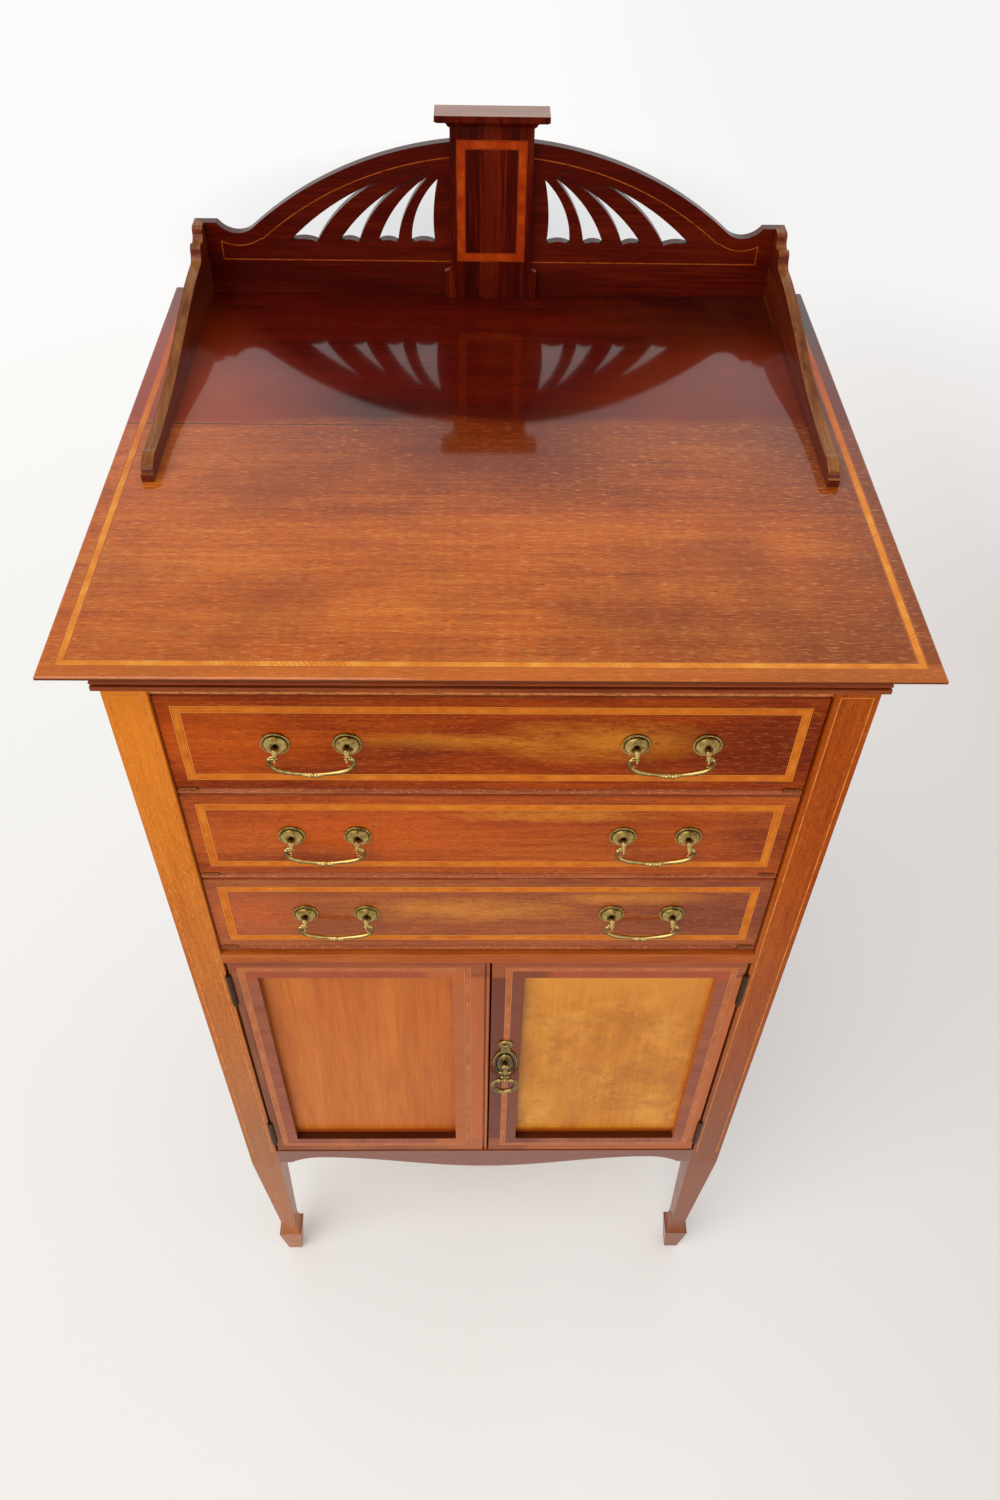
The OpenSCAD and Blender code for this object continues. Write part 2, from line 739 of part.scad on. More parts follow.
// A bail hanging from the origin, which is the middle of its pivot's axis
module bail_bar() {
    pin_in = post_pitch / 2 - eye_t / 2 - 0.8;
    pin_out = post_pitch / 2 + eye_t / 2 + knuckle_gap;
    button_r = bail_r + 0.3;
    arm_x = pin_out + button_r + 0.1;
    corner_x = arm_x - bail_corner;
    turn = 90 - bail_slope;
    bar_end = corner_x + bail_corner * cos(turn);
    bar_bend = bar_end / cos(turn);
    bar_end_z = bar_bend * (1 - sin(turn)) - bail_drop;
    corner_z = bar_end_z + bail_corner * sin(turn);
    bent_bar(0, bar_bend - bail_drop, bar_bend, bail_r, -180 + turn, -turn);
    for (s = [0, 1]) mirror([s, 0, 0]) {
        across(bail_pin_r, pin_in, arm_x);
        button([arm_x, 0], button_r);
        straight_bar([arm_x, 0], [arm_x, corner_z], bail_r);
        button([arm_x, corner_z], button_r);
        straight_bar([arm_x, corner_z], [bar_end, bar_end_z], bail_r);
        button([bar_end, bar_end_z], button_r);
    }
}

module bail(k, side) {
    color(old_brass) translate([side * handle_x, fall_y - pivot_out, post_z(k) - pivot_drop]) {
        bail_bar();
        translate([0, 0, -bail_drop]) {
            across(knop_r, -1.3, 1.3);
            across(knop_r - 0.5, -3.2, 3.2);
        }
    }
}

// Doors, drawn for the left side and mirrored to the right
door_y = front_y + door_in;
door_out_x = opening_w / 2 - door_side_gap;
door_meet_x = bead_w / 2 + quirk_w;
door_axis_x = opening_w / 2 - door_side_gap / 2;
hinge_heights = [door_z + door_hinge_in, door_z + door_h - door_hinge_in - door_hinge_h];

module door_knuckle_recesses() {
    for (z = hinge_heights) translate([-door_axis_x, front_y, z - knuckle_gap])
        cylinder(r = door_knuckle_r + knuckle_gap, h = door_hinge_h + 2 * knuckle_gap);
}

module door_frame(right) {
    panel_y0 = door_y + panel_in;
    left_x = -door_out_x + hinge_stile_w;
    right_x = -door_meet_x - meeting_stile_w;
    low_z = door_z + door_low_rail;
    high_z = door_z + door_h - door_top_rail;
    color(wood_brown) mirror_x(right) difference() {
        box([-door_out_x, door_y, door_z], [-door_meet_x, door_y + door_t, door_z + door_h]);
        box([left_x, door_y - over, low_z], [right_x, door_y + door_t + over, high_z]);
        box([left_x - groove_d, panel_y0 - groove_fit, low_z - groove_d],
            [right_x + groove_d, panel_y0 + panel_t + groove_fit, high_z + groove_d]);
        door_knuckle_recesses();
    }
}

module door_panel(right) {
    reach = groove_d - groove_fit;
    panel_y = door_y + panel_in;
    panel_top_z = door_z + door_h - door_top_rail + reach;
    color(wood_gold) mirror_x(right)
        box([-door_out_x + hinge_stile_w - reach, panel_y, door_z + door_low_rail - reach],
            [-door_meet_x - meeting_stile_w + reach, panel_y + panel_t, panel_top_z]);
}

// The bead on the left door's meeting edge, with the sunk line beside it
module door_bead() {
    r = bead_w / 2;
    color(wood_brown) {
        box([-door_meet_x, door_y + quirk_d, door_z], [r, door_y + door_t, door_z + door_h]);
        box([-r, door_y + r, door_z], [r, door_y + quirk_d + over, door_z + door_h]);
        translate([0, door_y + r, door_z]) cylinder(r = r, h = door_h);
    }
}

// One hinge half on the pin's axis, drawn for the left door: the leaf lies at the low or the high X side
module door_hinge_half(outer) {
    fifth = door_hinge_h / 5;
    leaf_x = outer ? -door_side_gap / 2 : door_side_gap / 2 - door_leaf_t;
    clear = door_knuckle_r + knuckle_gap;
    first = outer ? 0 : 1;
    trim = knuckle_gap / 2;
    box([leaf_x, clear, 0], [leaf_x + door_leaf_t, door_leaf_d, door_hinge_h]);
    for (i = [first:2:4]) {
        from = i * fifth + (i > 0 ? trim : 0);
        to = (i + 1) * fifth - (i < 4 ? trim : 0);
        translate([0, 0, from]) cylinder(r = door_knuckle_r, h = to - from);
        box([leaf_x, 0, from], [leaf_x + door_leaf_t, clear + over, to]);
    }
}

module door_hinge_leaf(right) {
    color(old_brass) mirror_x(right) for (z = hinge_heights) translate([-door_axis_x, front_y, z]) {
        door_hinge_half(true);
        cylinder(r = door_pin_r, h = door_hinge_h);
    }
}

module door_hinge_flap(right) {
    color(old_brass) mirror_x(right) for (z = hinge_heights)
        translate([-door_axis_x, front_y, z]) difference() {
            door_hinge_half(false);
            translate([0, 0, -over]) cylinder(r = door_pin_r + pin_fit, h = door_hinge_h + 2 * over);
        }
}

// Door handle on the right door's meeting stile: an oval plate with a pierced lobe, a dome and a knob,
// from which a stem hangs that carries the ring
boss_x = door_meet_x + meeting_stile_w / 2;

// Outline of an oval of half width a and half height b
function oval(a, b) = [for (i = [0:47]) [a * cos(7.5 * i), b * sin(7.5 * i)]];

// Half of the dome's outline seen from the front, an arc of half width a and half height b
function dome_side(a, b) =
    let(r = (a * a + b * b) / (2 * a), half = asin(b / r))
    arc(a - r, 0, r, -half, half, 16);

module ring_plate() {
    half_w = plate_w / 2;
    half_h = plate_h / 2;
    rim_front = -plate_t - plate_rim_h;
    neck_r = 3;
    knob_y = ring_out - 2;
    color(old_brass) translate([boss_x, door_y, door_z + plate_z]) difference() {
        union() {
            difference() {
                upright_x(oval(half_w, half_h), rim_front, 0);
                upright_x(oval(half_w - plate_rim_w, half_h - plate_rim_w), rim_front - 1, -plate_t);
            }
            translate([0, plate_dome_w / 2 - plate_dome_out - plate_t, 0])
                rotate_extrude() polygon(dome_side(plate_dome_w / 2, plate_dome_h / 2));
            translate([0, 0, knob_rise]) rotate([90, 0, 0]) rotate_extrude() polygon(concat(
                [[0, 0], [neck_r, 0]], arc(0, knob_y, knob_r, -acos(neck_r / knob_r), 90, 10)));
            translate([0, -ring_out, -ring_drop]) across(ring_eye_r, -1.5, 1.5);
            translate([0, -ring_out, -ring_drop]) cylinder(r = stem_r, h = ring_drop + knob_rise);
            translate([0, -ring_out, knob_rise - 2 * knob_r - 1])
                across(stem_r - 0.4, -stem_bar_w, stem_bar_w);
            box([-lobe_neck_w / 2, -plate_t, half_h - 5], [lobe_neck_w / 2, 0, lobe_rise]);
            translate([0, 0, lobe_rise]) rotate([90, 0, 0]) cylinder(r = lobe_d / 2, h = -rim_front);
        }
        translate([0, -ring_out, -ring_drop]) across(ring_pin_r + pin_fit, -plate_w, plate_w);
        translate([0, over, lobe_rise]) rotate([90, 0, 0]) cylinder(r = lobe_hole_d / 2, h = plate_t + 4);
        box([-plate_w, 0, -plate_h], [plate_w, plate_dome_w, plate_h]);
    }
}

// The ring hangs from the middle of its pivot's axis, on the straight pin that closes its open top
module ring_pull() {
    low = -ring_bend * cos(ring_open);
    end_x = ring_bend * sin(ring_open);
    color(old_brass) translate([boss_x, door_y - ring_out, door_z + plate_z - ring_drop]) {
        across(ring_pin_r, -end_x, end_x);
        bent_bar(0, low, ring_bend, ring_r, ring_open - 270, 90 - ring_open);
        for (s = [-1, 1]) button([s * end_x, 0], ring_r + 0.3);
        translate([0, 0, low - ring_bend]) {
            across(ring_knop_r, -1.2, 1.2);
            across(ring_knop_r - 0.5, -2.6, 2.6);
        }
    }
}

// Gallery on the top
gallery_front_y = top_back_y - gallery_t;
wing_out_x = case_w / 2 - wing_in;
wing_in_x = wing_out_x - wing_t;

// Upper edge of the right half of the back gallery, from the tablet to the ear
function crest_line() =
    let(
        arch_z = crest_h - crest_r,
        hollow_z = hollow_h + hollow_r,
        hollow_x = sqrt(pow(crest_r + hollow_r, 2) - pow(hollow_z - arch_z, 2)),
        meet = atan2(hollow_z - arch_z, hollow_x),
        start = acos(tablet_w / 2 / crest_r),
        rise = asin((ear_h - hollow_z) / hollow_r)
    )
    concat(
        arc(0, arch_z, crest_r, start, meet, 24),
        arc(hollow_x, hollow_z, hollow_r, meet + 180, 360 + rise, 16)
    );

function slot_outline(i) =
    let(
        foot_a = [slot_out[i], slot_foot_z],
        foot_b = [slot_inner[i], slot_foot_z],
        tip = [slot_tip_x[i], slot_tip_z[i]],
        half = [0, slot_tip_w / 2]
    )
    concat(
        bow(tip + half, foot_a, slot_bow_out[i], 14),
        bow(foot_a, foot_b, -slot_scallop, 6),
        bow(foot_b, tip - half, -slot_bow_in[i], 14)
    );

module gallery_half(right) {
    outline = concat(
        [[wing_out_x, 0], [tablet_w / 2, 0]],
        crest_line(),
        [[wing_out_x, ear_h]]
    );
    color(wood_red) mirror_x(!right) translate([0, 0, top_z]) difference() {
        intersection() {
            upright_x(outline, gallery_front_y, top_back_y);
            linear_extrude(crest_h) polygon([
                [0, gallery_front_y], [wing_in_x, gallery_front_y], [wing_out_x, top_back_y], [0, top_back_y]
            ]);
        }
        for (i = [0:len(slot_out) - 1])
            upright_x(slot_outline(i), gallery_front_y - over, top_back_y + over);
    }
}

// Profile of a side gallery from its front end to the back, as distance and height
function wing_outline() =
    let(
        slope_stop = wing_len - slope_end,
        rear = wing_len - ear_flat,
        slope_len = slope_stop - slope_start,
        step = (ear_h - slope_high_h) / 2,
        slope_h = slope_high_h - slope_low_h,
        bead_x = slope_stop + 8
    )
    concat(
        [[wing_len, 0], [0, 0], [0, toe_block_h], [3, toe_block_h]],
        bow([3, toe_block_h], [10, slope_low_h - 2], 1.5, 4),
        bow([12, slope_low_h - 1], [slope_start, slope_low_h], 1, 4),
        [for (i = [1:24]) let(t = pow(i / 24, 1.25))
            [slope_start + slope_len * i / 24, slope_low_h + slope_h * (1 - cos(180 * t)) / 2]],
        bow([slope_stop, slope_high_h], [bead_x, slope_high_h + step - 3], -2, 5),
        bow([bead_x, slope_high_h + step - 2], [bead_x + 9, slope_high_h + step + 1], 2.5, 6),
        bow([bead_x + 9, slope_high_h + step + 1], [rear - 5, ear_h - 6], -2.5, 5),
        bow([rear - 5, ear_h - 5], [rear, ear_h], 1.8, 5),
        [[wing_len, ear_h]]
    );

module gallery_wing(right) {
    front_end = top_back_y - wing_len;
    color(wood_red) mirror_x(!right) translate([0, 0, top_z]) intersection() {
        upright_y([for (p = wing_outline()) [front_end + p[0], p[1]]], wing_in_x, wing_out_x);
        linear_extrude(ear_h) polygon([
            [wing_in_x, front_end], [wing_out_x, front_end],
            [wing_out_x, top_back_y], [wing_in_x, gallery_front_y]
        ]);
    }
}

module tablet() {
    shoulder = (plinth_w - tablet_w) / 2;
    right = concat(
        [[plinth_w / 2, 0], [plinth_w / 2, plinth_h]],
        arc(plinth_w / 2, plinth_h + shoulder, shoulder, -90, -180, 5),
        [[tablet_w / 2, tablet_h]]
    );
    color(wood_red) translate([0, 0, top_z]) {
        upright_x(concat(right, flip(right)), gallery_front_y - tablet_out, gallery_front_y);
        box([-tablet_w / 2, gallery_front_y, 0], [tablet_w / 2, top_back_y, tablet_h]);
    }
}

// Section of the cap's moulded edge, as distance out from the shaft and height
function cap_edge() =
    let(out = (cap_w - tablet_w) / 2, hollow = out - 4)
    concat(
        [[1, 0], [1, 1]],
        [for (i = [0:5]) let(a = 90 * i / 5) [2 + hollow * (1 - cos(a)), 1 + (cap_mould_h - 2) * sin(a)]],
        [[out - 1.5, cap_mould_h - 1], [out - 1.5, cap_mould_h]],
        [[out, cap_mould_h], [out, cap_mould_h + cap_edge_h]]
    );

module tablet_cap() {
    out = (cap_w - tablet_w) / 2;
    high = cap_mould_h + cap_edge_h;
    half = tablet_w / 2;
    face = gallery_front_y - tablet_out;
    right = [for (p = cap_edge()) [half + p[0], p[1]]];
    front = [for (p = cap_edge()) [face - p[0] * cap_out / out, p[1]]];
    color(wood_red) translate([0, 0, top_z + tablet_h]) intersection() {
        upright_x(concat(right, flip(right)), face - cap_out, top_back_y);
        upright_y(concat([[top_back_y, 0]], front, [[top_back_y, high]]), -half - out, half + out);
    }
}

leg_front(false);  // leg_front_left
leg_front(true);  // leg_front_right
leg_back(false);  // leg_back_left
leg_back(true);  // leg_back_right
side_panel(false);  // side_panel_left
side_panel(true);  // side_panel_right
back_panel();
top_board();
bed_mould();
top_rail();
waist_rail();
waist_board();
apron();
cupboard_floor();
shelf();
shelf_bearers();
runners(false);  // runners_left
runners(true);  // runners_right
gallery_half(false);  // gallery_left
gallery_half(true);  // gallery_right
gallery_wing(false);  // gallery_wing_left
gallery_wing(true);  // gallery_wing_right
tablet();
tablet_cap();
door_hinge_leaf(false);  // door_hinge_leaf_left
door_hinge_leaf(true);  // door_hinge_leaf_right
for (k = [1:DRAWERS]) {
    drawer_bottom(k);
    drawer_box(k);
    fall_hinge_leaf(k);
    fall_front(k);
    fall_hinge_flap(k);
    roses(k);
    bail(k, -1);
    bail(k, 1);
}
door_frame(false);  // door_frame_left
door_frame(true);  // door_frame_right
door_panel(false);  // door_panel_left
door_panel(true);  // door_panel_right
door_bead();
door_hinge_flap(false);  // door_hinge_flap_left
door_hinge_flap(true);  // door_hinge_flap_right
ring_plate();
ring_pull();
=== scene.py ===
from math import acos, atan2, cos, pi, radians, sin, sqrt

import bmesh
import bpy
from mathutils import Matrix, Vector


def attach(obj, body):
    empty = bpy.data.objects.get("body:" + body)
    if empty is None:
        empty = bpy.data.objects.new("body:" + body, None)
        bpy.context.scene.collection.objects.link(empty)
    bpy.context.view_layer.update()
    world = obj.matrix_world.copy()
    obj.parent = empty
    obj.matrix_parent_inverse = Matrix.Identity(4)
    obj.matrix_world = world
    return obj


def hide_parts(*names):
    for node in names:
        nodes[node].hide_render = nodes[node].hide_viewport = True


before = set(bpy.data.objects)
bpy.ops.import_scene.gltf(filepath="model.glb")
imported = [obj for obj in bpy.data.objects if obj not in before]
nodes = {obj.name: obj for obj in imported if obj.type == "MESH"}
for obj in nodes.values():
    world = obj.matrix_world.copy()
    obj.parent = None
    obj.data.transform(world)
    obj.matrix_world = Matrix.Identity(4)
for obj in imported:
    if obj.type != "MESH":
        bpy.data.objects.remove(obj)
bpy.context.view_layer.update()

MM = 0.001
SIDES = {"left": -1, "right": 1}
DRAWERS = (1, 2, 3)

# Places and sizes of the CAD model, in metres
FRONT_Y = -229 * MM
BACK_Y = 260 * MM
TOP_Z = 1078 * MM
TOP_HALF = 290.5 * MM
LEG_IN = 234 * MM
LEG_OUT = 265 * MM
FALL_Y = FRONT_Y + 3 * MM
FALL_H = 95 * MM
FALL_T = 16 * MM
FALL_HALF = 232.8 * MM
FIRST_FALL_Z = 932.5 * MM
FALL_STEP = 104.5 * MM
DOOR_Y = FRONT_Y + 1 * MM
DOOR_Z = 316 * MM
DOOR_H = 383 * MM
DOOR_OUT = 231.5 * MM
DOOR_MEET = 3.3 * MM
HINGE_STILE = 24.5 * MM
MEETING_STILE = 29.5 * MM
DOOR_TOP_RAIL = 25 * MM
DOOR_LOW_RAIL = 28 * MM
PANEL_LOW = DOOR_Z + DOOR_LOW_RAIL
PANEL_HIGH = DOOR_Z + DOOR_H - DOOR_TOP_RAIL
HANDLE_X = 128.5 * MM
POST_PITCH = 51 * MM
POST_RISE = 49 * MM
PIVOT_OUT = 10 * MM
PIVOT_DROP = 6.2 * MM
BAIL_DROP = 16 * MM
PLATE = Vector((18.05 * MM, DOOR_Y, 519.5 * MM))
KNOB_RISE = 5 * MM
LOBE_RISE = 35.5 * MM
RING_OUT = 9.5 * MM
RING_DROP = 21 * MM
RING_BEND = 12.2 * MM
RING_GAP = radians(28)
GALLERY_Y = BACK_Y - 9 * MM
TABLET_Y = GALLERY_Y - 6 * MM

# Height of an inlay above the face that it lies in, and width of a stringing line
INLAY = 0.12 * MM
LINE_W = 0.9 * MM

# Where the top's two boards meet, and how far the timber's edges look rounded
BOARD_JOINT = 31 * MM
EDGE_ROUND = 0.7 * MM

# Faces of the handles that meet at more than this angle stay sharp
SHARP = radians(40)

# Camera, at the place that the photograph was taken from: yaw to the right, pitch down and roll
CAMERA_PLACE = (-0.0107, -0.8039, 1.6014)
CAMERA_TURN = (radians(1.62), radians(47.3), radians(1.38))
FILM = 36
LENS = 28.55


def fall_z(k):
    """Height of a fall front's foot; the fronts are counted from the top."""
    return FIRST_FALL_Z - FALL_STEP * (k - 1)


def post_z(k):
    return fall_z(k) + POST_RISE


def add_camera():
    yaw, pitch, roll = CAMERA_TURN
    ahead = Vector((sin(yaw) * cos(pitch), cos(yaw) * cos(pitch), -sin(pitch)))
    level = Vector((cos(yaw), -sin(yaw), 0))
    up = level.cross(ahead)
    right = level * cos(roll) + up * sin(roll)
    up = right.cross(ahead)
    camera = bpy.data.objects.new("camera", bpy.data.cameras.new("camera"))
    camera.data.sensor_fit = "VERTICAL"
    camera.data.sensor_width = FILM
    camera.data.sensor_height = FILM
    camera.data.lens = LENS
    rows = [(right[i], up[i], -ahead[i], CAMERA_PLACE[i]) for i in range(3)]
    camera.matrix_world = Matrix((*rows, (0, 0, 0, 1)))
    bpy.context.scene.collection.objects.link(camera)
    bpy.context.scene.camera = camera


# Materials
def linear(r, g, b):
    """A colour given as 0 to 255 on the screen."""
    def one(c):
        c /= 255
        return c / 12.92 if c <= 0.04045 else ((c + 0.055) / 1.055) ** 2.4
    return (one(r), one(g), one(b), 1)


def plug(tree, node, key, value):
    """Gives a node's input a value, or joins it to another node's socket."""
    if isinstance(value, bpy.types.NodeSocket):
        tree.links.new(value, node.inputs[key])
    else:
        node.inputs[key].default_value = value


def add_node(tree, kind, inputs=None, **settings):
    node = tree.nodes.new(kind)
    for key, value in settings.items():
        setattr(node, key, value)
    for key, value in (inputs or {}).items():
        plug(tree, node, key, value)
    return node


class Surface:
    """A node material under construction. Inputs are numbers, colours or sockets of other nodes."""

    def __init__(self, name):
        self.material = bpy.data.materials.new(name)
        self.material.use_nodes = True
        self.tree = self.material.node_tree
        self.shader = self.tree.nodes["Principled BSDF"]
        self.place = self.add("ShaderNodeTexCoord").outputs["Object"]

    def add(self, kind, inputs=None, **settings):
        return add_node(self.tree, kind, inputs, **settings)

    def set(self, **inputs):
        for key, value in inputs.items():
            plug(self.tree, self.shader, key.replace("_", " "), value)

    def math(self, operation, a, b=0.0, clamp=False):
        node = self.add("ShaderNodeMath", {0: a, 1: b}, operation=operation)
        node.use_clamp = clamp
        return node.outputs[0]

    def times(self, a, b):
        return self.math("MULTIPLY", a, b)

    def vector(self, operation, a, b=(0, 0, 0)):
        return self.add("ShaderNodeVectorMath", {0: a, 1: b}, operation=operation).outputs

    def scaled(self, scale, vector=None):
        return self.add("ShaderNodeMapping", {"Vector": vector or self.place, "Scale": scale}).outputs[0]

    def noise(self, scale, vector=None, detail=3.0, roughness=0.55, distortion=0.0):
        return self.add("ShaderNodeTexNoise", {
            "Vector": vector or self.place, "Scale": scale, "Detail": detail,
            "Roughness": roughness, "Distortion": distortion,
        }).outputs["Fac"]

    def ramp(self, value, stops):
        node = self.add("ShaderNodeValToRGB", {"Fac": value})
        points = node.color_ramp.elements
        while len(points) < len(stops):
            points.new(0.5)
        for point, (at, colour) in zip(points, stops):
            point.position = at
            point.color = linear(*colour)
        return node.outputs["Color"]

    def window(self, value, low, high):
        """0 at low and 1 at high, even between them and flat beyond; low may be the larger one."""
        inputs = {"Value": value, "From Min": low, "From Max": high, "To Min": 0.0, "To Max": 1.0}
        return self.add("ShaderNodeMapRange", inputs, clamp=True).outputs[0]

    def mix(self, share, a, b):
        node = self.add("ShaderNodeMix", data_type="RGBA")
        for key, value in ((0, share), (6, a), (7, b)):
            if isinstance(value, tuple):
                value = linear(*value)
            plug(self.tree, node, key, value)
        return node.outputs[2]

    def lay(self, colour, tone, mask, share):
        """Lays a share of a tone over the colour where the mask is 1."""
        return self.mix(self.times(mask, share), colour, tone)

    def split(self, vector):
        return self.add("ShaderNodeSeparateXYZ", {0: vector}).outputs

    def spot(self, centre, reach):
        """1 at a place on the object and 0 beyond its reach along each axis."""
        moved = self.vector("SUBTRACT", self.place, centre)[0]
        shrunk = self.vector("MULTIPLY", moved, [1 / r for r in reach])[0]
        return self.math("SUBTRACT", 1.0, self.vector("LENGTH", shrunk)["Value"], clamp=True)

    def facing(self, axis):
        """How far a face looks along an axis of the object."""
        return self.split(self.add("ShaderNodeTexCoord").outputs["Normal"])[axis]

    def vary_roughness(self, pattern, least, most):
        inputs = {"Value": pattern, "From Min": 0.3, "From Max": 0.7, "To Min": least, "To Max": most}
        self.set(Roughness=self.add("ShaderNodeMapRange", inputs).outputs[0])

    def rounded(self):
        """The direction that the surface faces, turned gradually over its edges."""
        return self.add("ShaderNodeBevel", {"Radius": EDGE_ROUND}, samples=4).outputs[0]

    def edges(self):
        """1 along the edges of a part and 0 on its faces."""
        flat = self.add("ShaderNodeNewGeometry").outputs["Normal"]
        alike = self.vector("DOT_PRODUCT", self.rounded(), flat)["Value"]
        return self.window(alike, 0.99, 0.8)


def drawn_out(grain, share):
    """Scales that draw a pattern out along the axis of the grain."""
    return tuple(share if axis == grain else 1 for axis in "xyz")


def wood_tone(s, tones, grain, vector=None, figure=13.0, offset=0.0, pore_share=0.35):
    """Timber colour from broad figure, streaks and fine threads, with short dark pores along the grain."""
    shifted = s.vector("ADD", vector or s.place, (offset, offset * 0.7, offset * 1.3))[0]
    along = s.scaled(drawn_out(grain, 0.1), shifted)
    thread = s.scaled(drawn_out(grain, 0.035), shifted)
    broad = s.times(s.noise(figure, along, detail=3.0, distortion=0.6), 0.42)
    streaks = s.times(s.noise(figure * 7, along, detail=4.0, roughness=0.65), 0.26)
    threads = s.times(s.noise(380.0, thread, detail=3.0, roughness=0.7), 0.32)
    tone = s.math("ADD", s.math("ADD", broad, streaks), threads)
    dark, middle, light = tones
    colour = s.ramp(tone, [(0.39, dark), (0.5, middle), (0.61, light)])
    pores = s.window(s.noise(1500.0, s.scaled(drawn_out(grain, 0.09), shifted), detail=1.0), 0.56, 0.7)
    return s.lay(colour, tuple(c * 0.55 for c in dark), pores, pore_share)


def patched(s, colour, spots, share):
    """Lays tones over the colour in broken, streaky places; each spot holds a centre, a reach and a tone."""
    broken = s.noise(70.0, s.scaled((0.35, 1, 1)), detail=5.0, roughness=0.7)
    dashes = s.noise(520.0, s.scaled((0.2, 1, 1)), detail=3.0, roughness=0.7)
    streaky = s.math("ADD", s.times(broken, 0.55), s.times(dashes, 0.45))
    for centre, reach, tone in spots:
        there = s.window(s.times(s.math("POWER", s.spot(centre, reach), 0.5), streaky), 0.24, 0.5)
        colour = s.lay(colour, tone, there, share)
    return colour


def dashed(s, colour, length, tone, share):
    """Short light dashes along a level grain, as pores filled with polish show."""
    dashes = s.window(s.noise(820.0, s.scaled((length, 1, 1)), detail=2.0), 0.56, 0.68)
    return s.lay(colour, tone, dashes, share)


def polished(s, colour, roughness, coat, wear=(150, 90, 55), wear_share=0.3, gloss=0.12):
    """Finishes a timber surface: rubbed edges, slightly uneven gloss and a coat of polish."""
    colour = s.lay(colour, wear, s.edges(), wear_share)
    s.set(Base_Color=colour, Coat_Weight=coat, Coat_Roughness=gloss, Coat_IOR=1.5, Specular_IOR_Level=0.06)
    s.vary_roughness(s.noise(26.0, detail=4.0, roughness=0.6), roughness - 0.06, roughness + 0.08)
    s.set(Normal=s.rounded())
    return s.material


def plain_timber(grain):
    s = Surface("inside_timber_" + grain)
    colour = wood_tone(s, ((124, 82, 48), (160, 114, 70), (184, 142, 94)), grain)
    return polished(s, colour, 0.6, 0.0, wear=(196, 160, 118), wear_share=0.2)


def leg_wood():
    """Golden on the left and redder on the right, greyer towards the feet."""
    s = Surface("leg_mahogany")
    golden = wood_tone(s, ((190, 96, 24), (212, 116, 32), (226, 136, 50)), "z", figure=10.0, offset=1.7)
    red = wood_tone(s, ((142, 50, 0), (166, 68, 2), (184, 88, 14)), "z", figure=10.0, offset=4.1)
    across, _, up = s.split(s.place)
    golden = s.lay(golden, (240, 138, 34), s.window(up, 0.8, 1.0), 0.6)
    to_right = s.window(across, -0.1, 0.1)
    colour = s.mix(to_right, golden, red)
    low = s.window(up, 0.82, 0.34)
    colour = s.lay(colour, s.mix(to_right, (146, 86, 46), (122, 70, 40)), low, 0.7)
    flecks = s.window(s.noise(700.0, s.scaled((1, 1, 0.45)), detail=2.0), 0.56, 0.7)
    fleck_share = s.math("SUBTRACT", 0.3, s.times(to_right, 0.18))
    colour = s.lay(colour, (246, 176, 84), flecks, fleck_share)
    coat = s.math("ADD", 0.01, s.times(low, 0.42))
    return polished(s, colour, 0.42, coat, wear=(150, 78, 34), wear_share=0.35)


def rail_wood():
    """The rail over the doors and the shaped apron below them, which is greyer."""
    s = Surface("rail_mahogany")
    colour = wood_tone(s, ((152, 66, 18), (176, 84, 26), (194, 104, 40)), "x", offset=2.9)
    low = s.window(s.split(s.place)[2], 0.5, 0.4)
    colour = s.lay(colour, (112, 58, 42), low, 0.8)
    return polished(s, colour, 0.4, s.math("ADD", 0.12, s.times(low, 0.66)))


def side_wood():
    s = Surface("side_mahogany")
    colour = wood_tone(s, ((100, 36, 12), (132, 56, 20), (158, 78, 30)), "z", offset=0.4)
    return polished(s, colour, 0.4, 0.2, wear=(176, 100, 56))


def strip_wood():
    """The drawers' bottoms, whose front edges show under the falls, rubbed and speckled with pale dashes
    that are partly filled pores and partly a painted highlight.
    """
    s = Surface("strip_mahogany")
    colour = wood_tone(s, ((124, 54, 30), (156, 76, 40), (184, 102, 60)), "x", offset=0.9)
    # Pale pink dashes: filled pores and a painted highlight.
    colour = dashed(s, colour, 0.35, (232, 156, 110), 0.45)
    return polished(s, colour, 0.4, 0.1, wear=(196, 120, 76))


def top_rail_wood():
    """The rail over the drawers, rubbed to a rough ochre line under the moulding."""
    s = Surface("top_rail_mahogany")
    colour = wood_tone(s, ((96, 32, 10), (122, 48, 16), (146, 68, 26)), "x", offset=0.4)
    rough = s.window(s.noise(420.0, s.scaled((0.3, 1, 1)), detail=3.0, roughness=0.7), 0.34, 0.54)
    below_mould = s.window(s.split(s.place)[2], 1036.5 * MM, 1035.7 * MM)
    colour = s.lay(colour, (214, 132, 66), below_mould, rough)
    return polished(s, colour, 0.4, 0.1, wear=(176, 100, 56))


def mould_wood():
    s = Surface("mould_mahogany")
    colour = wood_tone(s, ((112, 38, 10), (144, 60, 20), (172, 86, 36)), "x", offset=1.4)
    return polished(s, colour, 0.36, 0.14, wear=(186, 108, 62), wear_share=0.5)


def front_board(s, across, depth):
    """Orange-brown, paler partly from fading and partly as a painted sheen of the pale surroundings; redder
    before the joint and duller on the right.
    """
    colour = wood_tone(s, ((166, 70, 4), (202, 96, 14), (222, 122, 34)), "x", figure=9.0, pore_share=0.6)
    red = wood_tone(s, ((110, 36, 4), (142, 56, 8), (168, 76, 18)), "x", figure=9.0)
    redder = s.times(s.window(depth, -0.11, BOARD_JOINT), s.window(across, -0.24, -0.06))
    colour = s.lay(colour, red, redder, 0.8)
    duller = s.window(s.math("ADD", across, s.noise(4.0)), 0.5, 0.74)
    colour = s.lay(colour, (108, 42, 8), duller, 0.66)
    return dashed(s, colour, 0.14, (246, 172, 100), 0.4)


